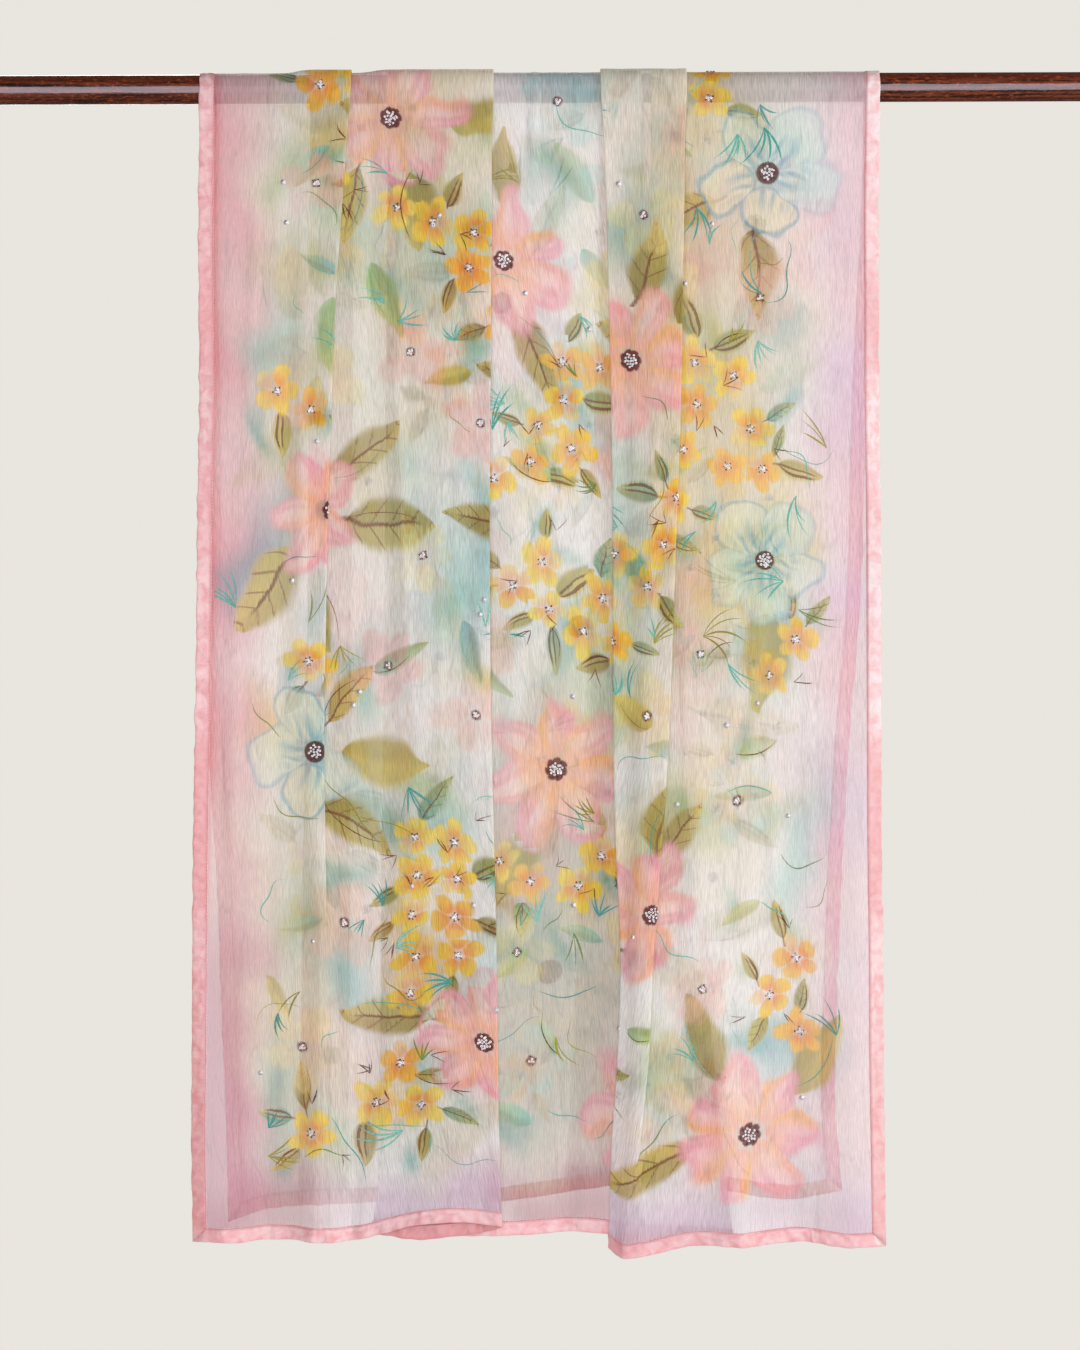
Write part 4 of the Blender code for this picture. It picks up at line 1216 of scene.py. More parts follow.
def sideBinding(name, column, sign, seed, finish):
    places = np.linspace(0.0, cutLength, round(cutLength / bindingSettings["step"]))
    where = np.interp(places, cutAlong, np.arange(rowCount))
    rows = np.arange(rowCount)
    edge, away, out = (
        np.stack([np.interp(where, rows, field[:, column, k]) for k in range(3)], axis=1)
        for field in (clothPoints, acrossCloth, outOfCloth)
    )
    mitres = (-alongCloth[0, column], alongCloth[-1, column])
    return bindingStrip(name, edge, unit(away) * sign, unit(out), mitres, seed, finish)


def hemBinding(name, row, sign, seed, finish):
    places = np.union1d(cutAcross[row], np.arange(0, cutWidth, bindingSettings["step"]))
    edge, away, out = (
        np.stack([np.interp(places, cutAcross[row], field[row, :, k]) for k in range(3)], axis=1)
        for field in (clothPoints, alongCloth, outOfCloth)
    )
    mitres = (-acrossCloth[row, 0], acrossCloth[row, -1])
    return bindingStrip(name, edge, unit(away) * sign, unit(out), mitres, seed, finish)


def pinkSatin(name):
    # Polyester satin cut on the bias, folded over the edge and sewn: a smooth weave with a soft
    # gloss, uneven where the sewing puckers it. Its colour carries painted light and shade: lighter and
    # darker patches with the gloss, painted shade up from the front hem, and an inner side that is
    # partly a duller reverse and partly painted shade.
    kind, s = satinKinds[name], bindingSettings
    made, tree = newMaterial(name)
    add = functools.partial(addNode, tree)
    strip = add("ShaderNodeAttribute", out="Vector", attribute_name="strip")
    length, off, underside = add("ShaderNodeSeparateXYZ", [strip]).node.outputs
    spread = (1 / s["glossAndPaintedLight"][0], 1 / s["glossAndPaintedLight"][1], 3.0)
    spread = add("ShaderNodeVectorMath", [strip, spread], operation="MULTIPLY")
    patches = add("ShaderNodeTexNoise", {"Vector": spread, "Scale": 1.0, "Detail": 2.0, "Distortion": 0.8})
    # the gloss patches also mix the satin's shade and light colours: painted highlights and painted shade
    lit = add("ShaderNodeMapRange", [patches, 0.30, 0.70], **softly)
    colour = add("ShaderNodeMix", {0: lit, 6: kind["shade"], 7: kind["light"]}, **blended)
    far = add("ShaderNodeVectorMath", [strip, (1 / s["fade"], 0.0, 0.0)], operation="MULTIPLY")
    far = add("ShaderNodeTexNoise", {"Vector": far, "Scale": 1.0, "Detail": 1.0})
    dull = add("ShaderNodeMapRange", [far, 0.46, 0.62, 0.0, 0.5], **softly)
    # painted shade: the strip darkens towards its front hem end
    low = add("ShaderNodeMapRange", [length, kind["shadedUpTo"], kind["shadedUpTo"] - 0.3, 0.0, 0.4], **softly)
    dull = add("ShaderNodeMath", [dull, low], operation="MAXIMUM")
    colour = add("ShaderNodeMix", {0: dull, 6: colour, 7: s["duller"]}, **blended)
    seam = add("ShaderNodeMapRange", [off, *s["seamRange"], 0.0, 0.45], **softly)
    colour = add("ShaderNodeMix", {0: seam, 6: colour, 7: s["seamShade"]}, **blended)
    # where the strip hangs behind, its inner side is seen through the front fall. Its inner colour
    # is partly a duller reverse and partly painted shade: deep where the front hem turns up, peach
    # where the light reaches it through the chiffon
    behind = add("ShaderNodeMapRange", [length, kind["behindFrom"], kind["behindFrom"] + 0.06])
    inner = add("ShaderNodeMix", {0: behind, 6: kind["inside"], 7: kind["insideBehind"]}, **blended)
    colour = add("ShaderNodeMix", {0: underside, 6: colour, 7: inner}, **blended)
    pulls = (1 / s["pull"][0], 1 / s["pull"][1], 3.0)
    pulls = add("ShaderNodeVectorMath", [strip, pulls], operation="MULTIPLY")
    pulls = add("ShaderNodeTexNoise", {"Vector": pulls, "Scale": 1.0, "Detail": 1.0})
    bump = add("ShaderNodeBump", {"Strength": 0.7, "Distance": s["pullHeight"], "Height": pulls})
    rough = add("ShaderNodeMapRange", [patches, 0.3, 0.7, 0.26, 0.40])
    threads = add("ShaderNodeBsdfPrincipled", {
        "Base Color": colour, "Roughness": rough, "Specular IOR Level": 0.8, "Sheen Weight": 0.2,
        "Normal": bump,
    })
    glow = add("ShaderNodeBsdfTranslucent", [colour])
    surface = add("ShaderNodeMixShader", [0.35, threads, glow])
    add("ShaderNodeOutputMaterial", [surface])
    return made


chiffon = chiffonSheet()
satins = {name: pinkSatin(name) for name in satinKinds}
# each strip: name, the cloth's column or row, the way off its edge, the puckers' seed, satin. The
# hems have satins of their own tones
bindings = [
    sideBinding("bindingLeft", 0, -1, 21, satins["pinkSatin"]),
    # the right strip's satin is painted lighter: painted light from the right
    sideBinding("bindingRight", -1, 1, 22, satins["pinkSatinPaintedLighter"]),
    hemBinding("bindingHemFront", 0, -1, 23, satins["pinkSatinFrontHem"]),
    hemBinding("bindingHemBack", -1, 1, 24, satins["pinkSatinBehind"]),
]
print("stole: chiffon and binding are hung")


# rod

rodSettings = {
    "sides": 96,
    "rings": 160,
    "endRounding": 1.5 * mm,
    "endSteps": 5,
    "streak": (90 * mm, 3.2 * mm),  # a streak of the stain, along the rod and round it
    "speck": (5.5 * mm, 1.8 * mm),
    "wave": (26 * mm, 7 * mm),  # a wave of the lacquer
    "waveHeight": 0.35 * mm,
    # the lighter, more orange top of the rod: painted light
    "stain": ("#1C0906", "#713520"),
    "paintedLightOnTop": "#5A1D02",
    "lightSpeck": "#A04A18",
    "darkSpeck": "#1C0A08",
}


def rodPiece(finish):
    sides, rings = rodSettings["sides"], rodSettings["rings"]
    ends = rodSettings["endRounding"]
    half = (rodHigh.x - rodLow.x) / 2
    rounded = [(-half, rodRadius - ends)]
    rounded += [(-half + ends * (1 - math.cos(a)), rodRadius - ends * (1 - math.sin(a)))
                for a in np.linspace(0.3, math.pi / 2, rodSettings["endSteps"])]
    inner = np.linspace(-half + 2 * ends, half - 2 * ends, rings)
    stations = rounded + [(x, rodRadius) for x in inner] + [(-x, r) for x, r in rounded][::-1]
    points = [
        (x, r * math.cos(math.tau * k / sides), r * math.sin(math.tau * k / sides))
        for x, r in stations for k in range(sides)
    ]
    faces = []
    for s in range(len(stations) - 1):
        for k in range(sides):
            a, b = s * sides + k, s * sides + (k + 1) % sides
            faces.append((a, a + sides, b + sides, b))
    faces.append(tuple(range(sides)))
    faces.append(tuple(range((len(stations) - 1) * sides, len(stations) * sides))[::-1])
    mesh = bpy.data.meshes.new("rodLacquered")
    mesh.from_pydata(points, [], faces)
    mesh.materials.append(finish)
    for face in mesh.polygons:
        face.use_smooth = len(face.vertices) == 4
    piece = bpy.data.objects.new("rodLacquered", mesh)
    scene.collection.objects.link(piece)
    closeEnds(piece)
    return piece


def lacqueredRod():
    # Turned hardwood stained red brown under a thick clear lacquer: dark streaks run along it,
    # fine specks show in the stain, and the lacquer is a little wavy. Its top is painted a lighter
    # orange brown: painted light from above.
    made, tree = newMaterial("lacqueredHardwood")
    add = functools.partial(addNode, tree)
    place = add("ShaderNodeTexCoord", out="Object")
    along, around = rodSettings["streak"]
    spread = (1 / along, 1 / around, 1 / around)
    spread = add("ShaderNodeVectorMath", [place, spread], operation="MULTIPLY")
    grain = add("ShaderNodeTexNoise", {"Vector": spread, "Scale": 1.0, "Detail": 4.0, "Roughness": 0.6})
    streaks = add("ShaderNodeMapRange", [grain, 0.35, 0.66], **softly)
    dark, red = rodSettings["stain"]
    colour = add("ShaderNodeMix", {0: streaks, 6: dark, 7: red}, **blended)
    along, around = rodSettings["speck"]
    spread = (1 / along, 1 / around, 1 / around)
    spread = add("ShaderNodeVectorMath", [place, spread], operation="MULTIPLY")
    specks = add("ShaderNodeTexNoise", {"Vector": spread, "Scale": 1.0, "Detail": 2.0})
    # painted light: the top of the rod is lighter and more orange
    up = add("ShaderNodeSeparateXYZ", [place], out=2)
    paintedTopLight = add("ShaderNodeMapRange", [up, 0.15 * rodRadius, 0.85 * rodRadius], **softly)
    colour = add("ShaderNodeMix", {0: paintedTopLight, 6: colour, 7: rodSettings["paintedLightOnTop"]}, **blended)
    light = add("ShaderNodeMapRange", [specks, 0.55, 0.72, 0.0, 0.6], **softly)
    colour = add("ShaderNodeMix", {0: light, 6: colour, 7: rodSettings["lightSpeck"]}, **blended)
    dark = add("ShaderNodeMapRange", [specks, 0.42, 0.30, 0.0, 0.7], **softly)
    colour = add("ShaderNodeMix", {0: dark, 6: colour, 7: rodSettings["darkSpeck"]}, **blended)
    along, around = rodSettings["wave"]
    spread = (1 / along, 1 / around, 1 / around)
    spread = add("ShaderNodeVectorMath", [place, spread], operation="MULTIPLY")
    waves = add("ShaderNodeTexNoise", {"Vector": spread, "Scale": 1.0, "Detail": 2.0})
    bump = add("ShaderNodeBump", {"Strength": 0.6, "Distance": rodSettings["waveHeight"], "Height": waves})
    rough = add("ShaderNodeMapRange", [specks, 0.3, 0.7, 0.16, 0.30])
    lacquer = add("ShaderNodeBsdfPrincipled", {
        "Base Color": colour, "Roughness": rough, "Normal": bump,
        "Coat Weight": 1.0, "Coat Roughness": 0.08, "Coat IOR": 1.56, "Coat Normal": bump,
    })
    add("ShaderNodeOutputMaterial", [lacquer])
    return made


rod = rodPiece(lacqueredRod())
print("stole: the rod is turned")


# brush lines: twigs, tendrils and leaf edges drawn with a fine brush

lineSettings = {
    "step": 2.2 * mm,
    "lift": 0.16 * mm,  # off the cloth, on both of its sides
    "fromEdge": 0.004,
    "leastSteps": 6,
    "leastPoints": 5,  # a shorter stroke is left out
    "sway": 3.0,
    "swayTurns": 1.6,
    # a fan: strokes that part from one foot. A width is half of a stroke's, in millimetres
    "fans": 170,
    "fanStrokes": (2, 5),
    "fanFoot": 1.2,  # its most distance from a leaf, in the leaf's half lengths
    "fanSpread": (0.22, 0.42),
    "fanBend": 1.3,
    "fanLong": (0.022, 0.050),
    "fanWide": (0.40, 1.0),
    "fanTealShare": 0.75,
    "tendrils": 150,
    "tendrilFromEdge": 0.05,
    "tendrilLong": (0.03, 0.085),
    "tendrilBend": 2.4,
    "tendrilWave": (0.4, 1.6),
    "tendrilWide": (0.25, 0.60),
    "twigs": 110,
    "twigStrokes": (2, 3),
    "twigReach": (1.05, 1.5),  # in the blossom's radii
    "twigTurn": 0.8,
    "twigBend": 0.7,
    "twigLong": (0.010, 0.022),
    "twigWide": (0.28, 0.50),
    "edgedShare": 0.45,  # of the leaves
    "edgeLong": (1.5, 2.3),  # in the leaf's half lengths
    "edgeFoot": (0.9, 1.1),
    "edgeTurn": 0.62,
    "edgeBend": 1.25,
    "edgeWide": (0.25, 0.50),
    "teal": ("#3B9C90", "#5CB3A2", "#4A9A94", "#7FC0AC"),
    "olive": ("#8E8A2E", "#A39A35", "#6F8A4A"),
    "brown": ("#6E2F22", "#7A3B34", "#5A2E22"),
}


def brushLine(u, v, heading, length, bend, wave, width, tone):
    # one stroke: its middle line and its half width at each step
    count = max(lineSettings["leastSteps"], round(length / lineSettings["step"]))
    sway, turns = lineSettings["sway"], lineSettings["swayTurns"]
    swing, line = paintRandom.uniform(0, math.tau), []
    for k in range(count + 1):
        share = k / count
        swell = 0.12 + math.sin(math.pi * min(share * 1.1 + 0.04, 1.0)) ** 0.7
        line.append((u, v, heading, width * swell))
        heading += bend / count + wave / count * math.sin(swing + share * math.tau * turns) * sway
        u += length / count * math.cos(heading)
        v += length / count * math.sin(heading)
    return [spot for spot in line if inCut(spot[0], spot[1], lineSettings["fromEdge"])], tone


def drawLines():
    chance, s, found = paintRandom, lineSettings, []
    for _ in range(s["fans"]):
        leaf = chance.choice(leaves)
        heading, spreadBy = chance.uniform(0, math.tau), chance.uniform(*s["fanSpread"])
        u = leaf["u"] + chance.uniform(-s["fanFoot"], s["fanFoot"]) * leaf["radius"]
        v = leaf["v"] + chance.uniform(-s["fanFoot"], s["fanFoot"]) * leaf["radius"]
        tone = chance.choice(s["teal"] if chance.random() < s["fanTealShare"] else s["olive"])
        bend, size = chance.uniform(-s["fanBend"], s["fanBend"]), chance.uniform(*s["fanLong"])
        for n in range(chance.randint(*s["fanStrokes"])):
            found.append(brushLine(
                u, v, heading + spreadBy * (n - 1.5) + chance.uniform(-0.08, 0.08),
                size * chance.uniform(0.6, 1.1), bend + chance.uniform(-0.2, 0.2), 0.05,
                chance.uniform(*s["fanWide"]) * mm, tone,
            ))
    for _ in range(s["tendrils"]):
        tone = chance.choice(s["teal"] + s["olive"])
        found.append(brushLine(
            *somewhere(chance, s["tendrilFromEdge"]), chance.uniform(0, math.tau),
            chance.uniform(*s["tendrilLong"]), chance.uniform(-s["tendrilBend"], s["tendrilBend"]),
            chance.uniform(*s["tendrilWave"]), chance.uniform(*s["tendrilWide"]) * mm, tone,
        ))
    for _ in range(s["twigs"]):
        flower = chance.choice(blossoms)
        angle = chance.uniform(0, math.tau)
        reach = flower["radius"] * chance.uniform(*s["twigReach"])
        for _ in range(chance.randint(*s["twigStrokes"])):
            found.append(brushLine(
                flower["u"] + reach * math.cos(angle), flower["v"] + reach * math.sin(angle),
                angle + chance.uniform(-s["twigTurn"], s["twigTurn"]), chance.uniform(*s["twigLong"]),
                chance.uniform(-s["twigBend"], s["twigBend"]), 0.1, chance.uniform(*s["twigWide"]) * mm,
                chance.choice(s["brown"]),
            ))
    for leaf in leaves:
        # one edge of a leaf, drawn a little off it
        if chance.random() < s["edgedShare"]:
            angle = leaf["angle"] + math.pi / 2
            side = chance.choice((-1, 1))
            u = leaf["u"] - leaf["radius"] * math.cos(angle) * chance.uniform(*s["edgeFoot"])
            v = leaf["v"] - leaf["radius"] * math.sin(angle) * chance.uniform(*s["edgeFoot"])
            found.append(brushLine(
                u, v, angle + side * s["edgeTurn"], leaf["radius"] * chance.uniform(*s["edgeLong"]),
                -side * s["edgeBend"], 0.15, chance.uniform(*s["edgeWide"]) * mm,
                chance.choice(s["teal"] + s["brown"]),
            ))
    return [line for line in found if len(line[0]) >= s["leastPoints"]]


def brushLinePiece(finish):
    points, faces, tones = [], [], []
    for line, tone in drawLines():
        start = len(points)
        for u, v, heading, half in line:
            place, out, across, along = onCloth(u, v)
            aside = (-math.sin(heading) * across + math.cos(heading) * along) * half
            for lift in (lineSettings["lift"], -lineSettings["lift"]):
                points += [place + out * lift - aside, place + out * lift + aside]
        for k in range(len(line) - 1):
            a, b = start + 4 * k, start + 4 * k + 4
            faces += [(a, b, b + 1, a + 1), (a + 2, a + 3, b + 3, b + 2)]
        tones += [(*hexColour(tone), 1.0)] * (4 * len(line))
    piece = meshPiece("brushLines", points, faces, finish)
    setAttribute(piece.data, "ink", "FLOAT_COLOR", tones)
    return piece


def brushInk():
    # dye drawn on with a fine brush: matt, thin enough to show the cloth under it
    made, tree = newMaterial("brushedDye")
    add = functools.partial(addNode, tree)
    ink = add("ShaderNodeAttribute", attribute_name="ink")
    place = add("ShaderNodeTexCoord", out="Object")
    spread = add("ShaderNodeVectorMath", [place, (1 / (3 * mm),) * 3], operation="MULTIPLY")
    wet = add("ShaderNodeTexNoise", {"Vector": spread, "Scale": 1.0, "Detail": 1.0})
    cover = add("ShaderNodeMapRange", [wet, 0.36, 0.64, 0.50, 0.95])
    dye = add("ShaderNodeBsdfPrincipled", {
        "Base Color": ink, "Roughness": 0.85, "Specular IOR Level": 0.2, "Alpha": cover,
    })
    add("ShaderNodeOutputMaterial", [dye])
    return made


brushLines = brushLinePiece(brushInk())
print("stole: the brush lines are drawn")


# beads, knots, sequins and stitches: one tree scatters each

trimSettings = {
    # each kind: its shape, how far off the cloth it sits, its sizes and its most tilt
    "bead": {
        "outer": 1.22 * mm, "hole": 0.42 * mm, "lift": 0.75 * mm, "sizes": (0.88, 1.08), "tilt": 0.5,
    },
    "knot": {"radius": 0.85 * mm, "lift": 0.3 * mm, "sizes": (0.8, 1.3), "tilt": 0.25},
    "sequin": {
        "radius": 2.5 * mm, "middle": 0.4 * mm, "cup": 0.55 * mm,
        "lift": 0.35 * mm, "sizes": (0.85, 1.1), "tilt": 0.1,
    },
    "stitch": {
        "length": 2.3 * mm, "thick": 0.22 * mm, "dip": 0.3 * mm, "every": 3.3 * mm,
        "inset": 1.3 * mm, "lift": 0.2 * mm,
    },
    # the cluster on each kind of flower: beads, their circle's radius, knots round it
    "onBlossom": {"beads": (4, 5), "radius": 2.5 * mm, "knots": (4, 6)},
    "onBloom": {"beads": (16, 20), "radius": 6.6 * mm, "knots": 16},
    "onGhost": {"beads": (4, 6), "radius": 2.7 * mm, "knots": 4},
    "knotsOut": 1.5 * mm,  # how far outside the beads the knots lie
    "looseSequins": 90,
    "sequinFromEdge": 0.05,
    "fromEdge": 0.012,
    "clearFrom": 0.4 * mm,
    "clearOver": 3.4 * mm,  # a bead needs this much room over it
    "seed": 77,
}
overCloth = BVHTree.FromPolygons(
    clothPoints.reshape(-1, 3).tolist(),
    [tuple(face.vertices) for face in chiffon.data.polygons], epsilon=0.0,
)


def uncovered(place, out):
    lifted = Vector(place + out * trimSettings["clearFrom"])
    return overCloth.ray_cast(lifted, Vector(out), trimSettings["clearOver"])[0] is None


def turnTo(out, across, spin):
    # the turn that stands a shape on the cloth, spun about the way out of it
    side = across - out * float(np.dot(across, out))
    side = Vector(side).normalized()
    up = Vector(out).normalized()
    basis = Matrix((side, up.cross(side), up)).transposed()
    return (basis @ Matrix.Rotation(spin, 3, "Z")).to_euler()


def trimSpots():
    # where each bead, knot and sequin sits: (place, turn, size)
    chance = random.Random(trimSettings["seed"])
    found = {"bead": [], "knot": [], "sequin": []}

    def sew(kind, u, v):
        given = trimSettings[kind]
        size, tilt = chance.uniform(*given["sizes"]), given["tilt"]
        place, out, across, _ = onCloth(u, v)
        if inCut(u, v, trimSettings["fromEdge"]) and uncovered(place, out):
            lean = (out + across * chance.uniform(-tilt, tilt)
                    + np.cross(out, across) * chance.uniform(-tilt, tilt))
            turn = turnTo(lean / np.linalg.norm(lean), across, chance.uniform(0, math.tau))
            found[kind].append((place + out * given["lift"], tuple(turn), size))

    def cluster(flower, given):
        u, v, radius = flower["u"], flower["v"], given["radius"]
        count, knots = chance.randint(*given["beads"]), given["knots"]
        if not isinstance(knots, int):
            knots = chance.randint(*knots)
        angle = chance.uniform(0, math.tau)
        for k in range(count):
            # a sunflower's order, shaken
            turn = angle + k * 2.4 + chance.uniform(-0.25, 0.25)
            reach = radius * math.sqrt((k + 0.4) / count)
            sew("bead", u + reach * math.cos(turn), v + reach * math.sin(turn))
        for k in range(knots):
            turn = angle + k * math.tau / knots + chance.uniform(-0.3, 0.3)
            reach = (radius + trimSettings["knotsOut"]) * chance.uniform(0.85, 1.1)
            sew("knot", u + reach * math.cos(turn), v + reach * math.sin(turn))

    for flowers, kind in ((blossoms, "onBlossom"), (blooms, "onBloom"), (ghosts, "onGhost")):
        for flower in flowers:
            cluster(flower, trimSettings[kind])
    for _ in range(trimSettings["looseSequins"]):
        sew("sequin", *somewhere(chance, trimSettings["sequinFromEdge"]))
    return found


def stitchSpots():
    # a row of stitches just inside the binding, all round
    inset, every, lift = (trimSettings["stitch"][k] for k in ("inset", "every", "lift"))
    spots, rounds = [], []
    for u in (inset, cutWidth - inset):
        rounds += [(u, v, True) for v in np.arange(inset, cutLength - inset, every)]
    for v in (inset, cutLength - inset):
        rounds += [(u, v, False) for u in np.arange(inset, cutWidth - inset, every)]
    for u, v, runsAlong in rounds:
        place, out, across, along = onCloth(u, v)
        spots.append((place + out * lift, tuple(turnTo(out, along if runsAlong else across, 0.0)), 1.0))
    return spots


def scatter(name, spots, finish, buildShape, sizes):
    # a mesh of points, each with its turn and size, and a tree that sets the shape on every one
    points = bpy.data.meshes.new(name + "Spots")
    points.from_pydata([tuple(spot[0]) for spot in spots], [], [])
    setAttribute(points, "turn", "FLOAT_VECTOR", [spot[1] for spot in spots])
    setAttribute(points, "size", "FLOAT", [spot[2] for spot in spots])
    carrier = bpy.data.objects.new(name + "Spots", points)
    scene.collection.objects.link(carrier)
    tree = bpy.data.node_groups.new(name, "GeometryNodeTree")
    tree.interface.new_socket(name="Spots", in_out="INPUT", socket_type="NodeSocketGeometry")
    sockets = {
        label: tree.interface.new_socket(name=label, in_out="INPUT", socket_type="NodeSocketFloat")
        for label in sizes
    }
    tree.interface.new_socket(name="Sewn", in_out="OUTPUT", socket_type="NodeSocketGeometry")
    add = functools.partial(addNode, tree)
    given = add("NodeGroupInput").node.outputs
    shape = buildShape(add, given)
    smooth = add("GeometryNodeSetShadeSmooth", [shape])
    turn = add("GeometryNodeInputNamedAttribute", {"Name": "turn"}, data_type="FLOAT_VECTOR")
    turn = add("FunctionNodeEulerToRotation", [turn])
    size = add("GeometryNodeInputNamedAttribute", {"Name": "size"}, data_type="FLOAT")
    spread = add("GeometryNodeInstanceOnPoints", {
        "Points": given["Spots"], "Instance": smooth, "Rotation": turn, "Scale": size,
    })
    real = add("GeometryNodeRealizeInstances", [spread])
    finished = add("GeometryNodeSetMaterial", {"Geometry": real, "Material": finish})
    add("NodeGroupOutput", [finished])
    live = carrier.modifiers.new(name, "NODES")
    live.node_group = tree
    for label, size in sizes.items():
        live[sockets[label].identifier] = size
    graph = bpy.context.evaluated_depsgraph_get()
    mesh = bpy.data.meshes.new_from_object(carrier.evaluated_get(graph))
    bpy.data.objects.remove(carrier)
    piece = bpy.data.objects.new(name, mesh)
    scene.collection.objects.link(piece)
    return piece


def beadShape(add, given):
    # a seed bead: a small thick ring
    middle = add("ShaderNodeMath", [given["Outer"], given["Hole"]], operation="ADD")
    middle = add("ShaderNodeMath", [middle, 0.5], operation="MULTIPLY")
    thick = add("ShaderNodeMath", [given["Outer"], given["Hole"]], operation="SUBTRACT")
    thick = add("ShaderNodeMath", [thick, 0.5], operation="MULTIPLY")
    ring = add("GeometryNodeCurvePrimitiveCircle", {"Resolution": 8, "Radius": middle})
    profile = add("GeometryNodeCurvePrimitiveCircle", {"Resolution": 5, "Radius": thick})
    return add("GeometryNodeCurveToMesh", {"Curve": ring, "Profile Curve": profile})


def knotShape(add, given):
    return add("GeometryNodeMeshIcoSphere", {"Radius": given["Radius"], "Subdivisions": 1})


def sequinShape(add, given):
    # a shallow cup with a flat middle
    return add("GeometryNodeMeshCone", {
        "Vertices": 12, "Radius Top": given["Radius"], "Radius Bottom": given["Middle"],
        "Depth": given["Cup"],
    }, fill_type="NGON")


def stitchShape(add, given):
    # a short thread that dips at both ends
    half = add("ShaderNodeMath", [given["Length"], 0.5], operation="MULTIPLY")
    back = add("ShaderNodeMath", [half, -1.0], operation="MULTIPLY")
    down = add("ShaderNodeMath", [given["Dip"], -1.0], operation="MULTIPLY")
    start = add("ShaderNodeCombineXYZ", {"X": back, "Z": down})
    end = add("ShaderNodeCombineXYZ", {"X": half, "Z": down})
    bow = add("ShaderNodeCombineXYZ", {"Z": given["Dip"]})
    thread = add("GeometryNodeCurveQuadraticBezier", {
        "Resolution": 4, "Start": start, "Middle": bow, "End": end,
    })
    profile = add("GeometryNodeCurvePrimitiveCircle", {"Resolution": 5, "Radius": given["Thick"]})
    return add("GeometryNodeCurveToMesh", {"Curve": thread, "Profile Curve": profile, "Fill Caps": True})


# each finish: its two colours, how rough it is, its clear coat, the size of its speckle
trimFinishes = {
    "whiteSeedGlass": (("#FFFFFF", "#F0ECEE"), 0.22, 0.6, 6 * mm),
    "brownSilkThread": (("#4A1F1C", "#7B3A38"), 0.6, 0.0, 2 * mm),
    "pearlySequinFilm": (("#FFFFFF", "#F6F2F8"), 0.5, 0.25, 3 * mm),
    "pinkPolyesterThread": (("#EFB2B8", "#F8D0D3"), 0.5, 0.0, 8 * mm),
}


def glazed(name):
    # Glass beads, pearly plastic sequins and spun thread share one recipe: a colour that varies
    # a little from place to place, under more or less gloss.
    colour, roughness, coat, speckle = trimFinishes[name]
    made, tree = newMaterial(name)
    add = functools.partial(addNode, tree)
    place = add("ShaderNodeTexCoord", out="Object")
    spread = add("ShaderNodeVectorMath", [place, (1 / speckle,) * 3], operation="MULTIPLY")
    varied = add("ShaderNodeTexNoise", {"Vector": spread, "Scale": 1.0, "Detail": 1.0})
    share = add("ShaderNodeMapRange", [varied, 0.35, 0.65, 0.0, 1.0], **softly)
    tint = add("ShaderNodeMix", {0: share, 6: colour[0], 7: colour[1]}, **blended)
    rough = add("ShaderNodeMapRange", [varied, 0.3, 0.7, roughness * 0.75, roughness * 1.3])
    shader = add("ShaderNodeBsdfPrincipled", {
        "Base Color": tint, "Roughness": rough, "Coat Weight": coat, "Coat Roughness": 0.06,
    })
    add("ShaderNodeOutputMaterial", [shader])
    return made


def shapeSizes(kind, *labels):
    return {label: trimSettings[kind][label.lower()] for label in labels}


trims = trimSpots()
beads = scatter("glassBeads", trims["bead"], glazed("whiteSeedGlass"),
                beadShape, shapeSizes("bead", "Outer", "Hole"))
knots = scatter("threadKnots", trims["knot"], glazed("brownSilkThread"),
                knotShape, shapeSizes("knot", "Radius"))
sequins = scatter("sequins", trims["sequin"], glazed("pearlySequinFilm"),
                  sequinShape, shapeSizes("sequin", "Radius", "Middle", "Cup"))
stitches = scatter("seamStitches", stitchSpots(), glazed("pinkPolyesterThread"),
                   stitchShape, shapeSizes("stitch", "Length", "Thick", "Dip"))
print(f"stole: {len(trims['bead'])} beads, {len(trims['knot'])} knots and"
      f" {len(trims['sequin'])} sequins are sewn on")


# riding on the frame

pieces = [chiffon, *bindings, rod, brushLines, beads, knots, sequins, stitches]
for piece in pieces:
    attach(piece, "root")
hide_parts("chiffon_front", "chiffon_over_rod", "chiffon_back")
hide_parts("binding_left_front", "binding_left_over_rod", "binding_left_back")
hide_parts("binding_right_front", "binding_right_over_rod", "binding_right_back")
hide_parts("binding_hem_front")
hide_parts("binding_hem_back")
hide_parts("rod")


# floor, light and camera

studioSettings = {
    "scale": 0.95 * mm,  # one pixel at the rod
    "imageWidth": 1080,
    "imageHeight": 1350,
    "rodPixel": (540.0, 88.5),
    "distance": 4.0,
    "roll": -0.19,
    "bounces": 6,
    "diffuseBounces": 3,
    "transparentBounces": 24,  # a look through every layer of the chiffon
    "floorBelow": 1.95,
    "floorReach": 4.0,
    "floor": "#D9D5CF",
    "floorGlow": ("#ECE8E2", 0.22),
    "backdrop": "#E9E5DF",
    "fill": 0.31,  # how much of the backdrop's light reaches the cloth
    "shine": 0.08,  # and how much of it gloss mirrors: the rest of the room is dark
    # each panel: name, place, what it faces, width and height, watts, colour
    "lights": (
        ("frontPanel", (-0.1, -2.6, -0.35), (-0.1, 0.0, -0.35), (2.3, 2.4), 54, "#F3EFFF"),
        ("rightPanel", (3.0, -1.2, 0.5), (0.0, 0.0, -0.5), (0.9, 2.0), 74, "#FFFFFF"),
        ("backPanel", (-1.4, 3.4, 0.8), (0.0, 0.0, -0.5), (2.4, 2.4), 76, "#FFFFFF"),
    ),
}


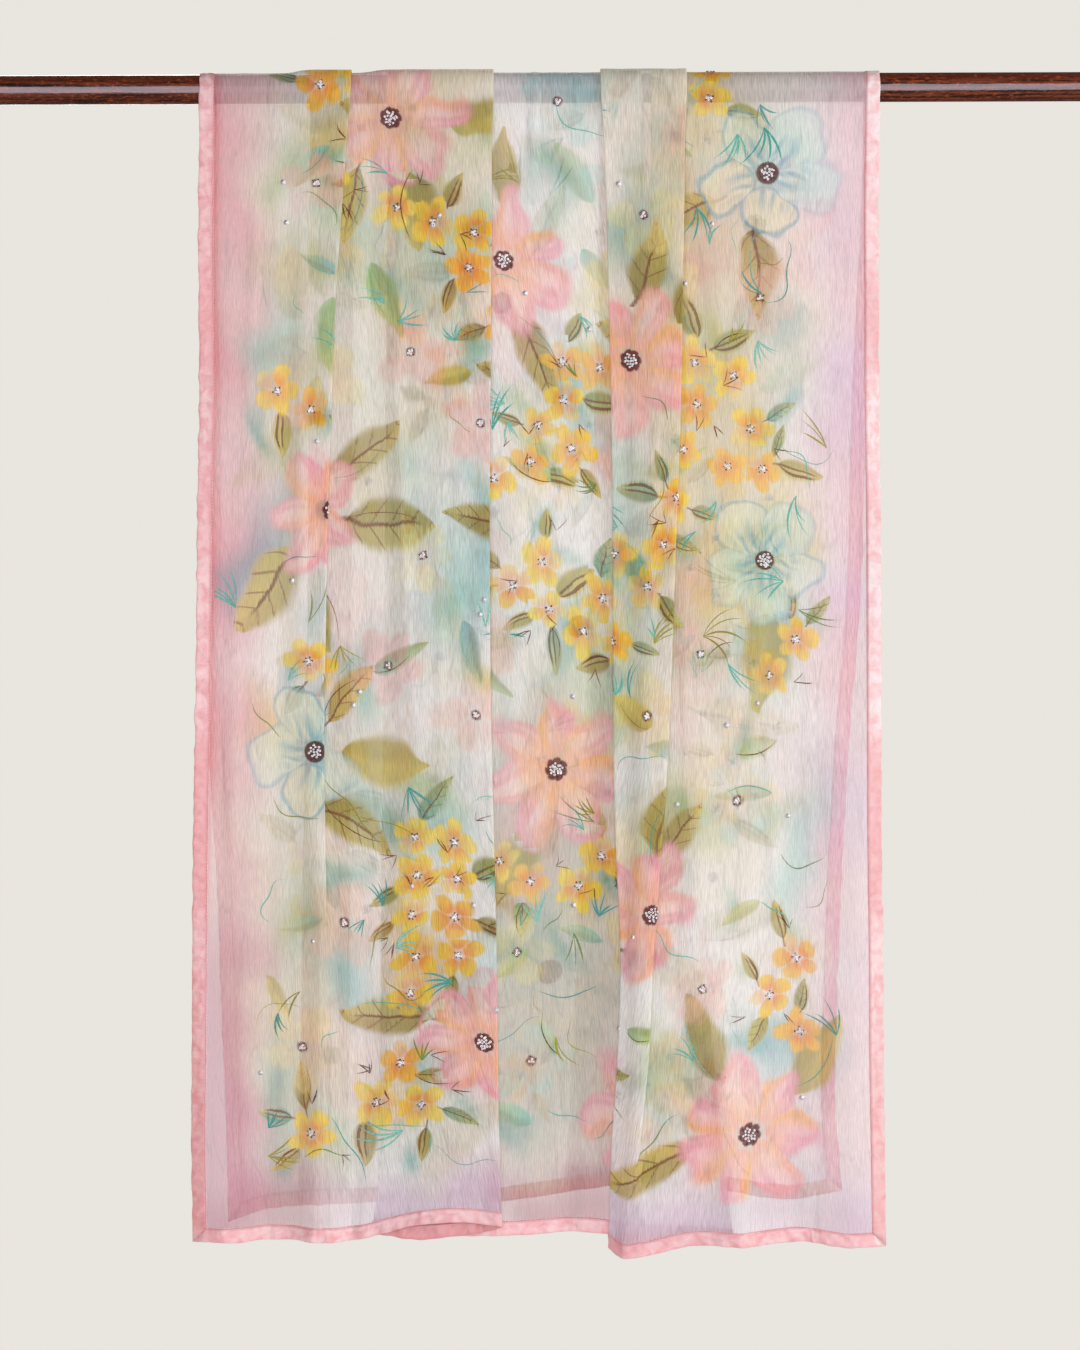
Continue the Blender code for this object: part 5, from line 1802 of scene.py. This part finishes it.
def floorPiece():
    made, tree = newMaterial("paleStudioFloor")
    glow, strength = studioSettings["floorGlow"]
    shader = addNode(tree, "ShaderNodeBsdfPrincipled", {
        "Base Color": studioSettings["floor"], "Roughness": 0.9,
        "Emission Color": glow, "Emission Strength": strength,
    })
    addNode(tree, "ShaderNodeOutputMaterial", [shader])
    z, reach = -studioSettings["floorBelow"], studioSettings["floorReach"]
    floor = meshPiece("floor", [(-reach, -reach, z), (reach, -reach, z), (reach, reach, z),
                                (-reach, reach, z)], [(0, 1, 2, 3)], made, smooth=False)
    floor.visible_glossy = False  # the rod's lacquer mirrors a dark room


def addLight(name, place, aim, size, watts, colour):
    lamp = bpy.data.lights.new(name, "AREA")
    lamp.shape = "RECTANGLE"
    lamp.size, lamp.size_y = size
    lamp.energy = watts
    lamp.color = hexColour(colour)
    made = bpy.data.objects.new(name, lamp)
    made.location = place
    made.rotation_euler = (Vector(aim) - Vector(place)).to_track_quat("-Z", "Y").to_euler()
    made.visible_camera = False
    scene.collection.objects.link(made)


def studio():
    floorPiece()
    world = bpy.data.worlds.new("softRoom")
    world.use_nodes = True
    world.node_tree.nodes.clear()
    backdrop = studioSettings["backdrop"]
    add = functools.partial(addNode, world.node_tree)
    seen = add("ShaderNodeBackground", [backdrop, 1.0])
    looked = add("ShaderNodeLightPath", out="Is Camera Ray")
    mirrored = looked.node.outputs["Is Glossy Ray"]
    levels = (studioSettings["fill"], studioSettings["shine"])
    level = add("ShaderNodeMapRange", [mirrored, 0.0, 1.0, *levels])
    shed = add("ShaderNodeBackground", [backdrop, level])
    both = add("ShaderNodeMixShader", [looked, shed, seen])
    add("ShaderNodeOutputWorld", [both])
    scene.world = world
    for name, place, aim, size, watts, colour in studioSettings["lights"]:
        addLight(name, place, aim, size, watts, colour)
    lens = bpy.data.cameras.new("camera")
    height = studioSettings["imageHeight"] * studioSettings["scale"]
    lens.lens = lens.sensor_width * studioSettings["distance"] / height
    lens.clip_end = 60.0
    camera = bpy.data.objects.new("camera", lens)
    x = (studioSettings["imageWidth"] / 2 - studioSettings["rodPixel"][0]) * studioSettings["scale"]
    z = -(studioSettings["imageHeight"] / 2 - studioSettings["rodPixel"][1]) * studioSettings["scale"]
    camera.location = (x, -studioSettings["distance"], z)
    camera.rotation_euler = (math.pi / 2, 0.0, 0.0)
    camera.rotation_euler.rotate_axis("Z", math.radians(studioSettings["roll"]))
    scene.collection.objects.link(camera)
    scene.camera = camera
    scene.view_settings.view_transform = "Standard"
    scene.cycles.transparent_max_bounces = studioSettings["transparentBounces"]
    scene.cycles.max_bounces = studioSettings["bounces"]
    scene.cycles.diffuse_bounces = studioSettings["diffuseBounces"]


studio()
print("stole: the studio is set")
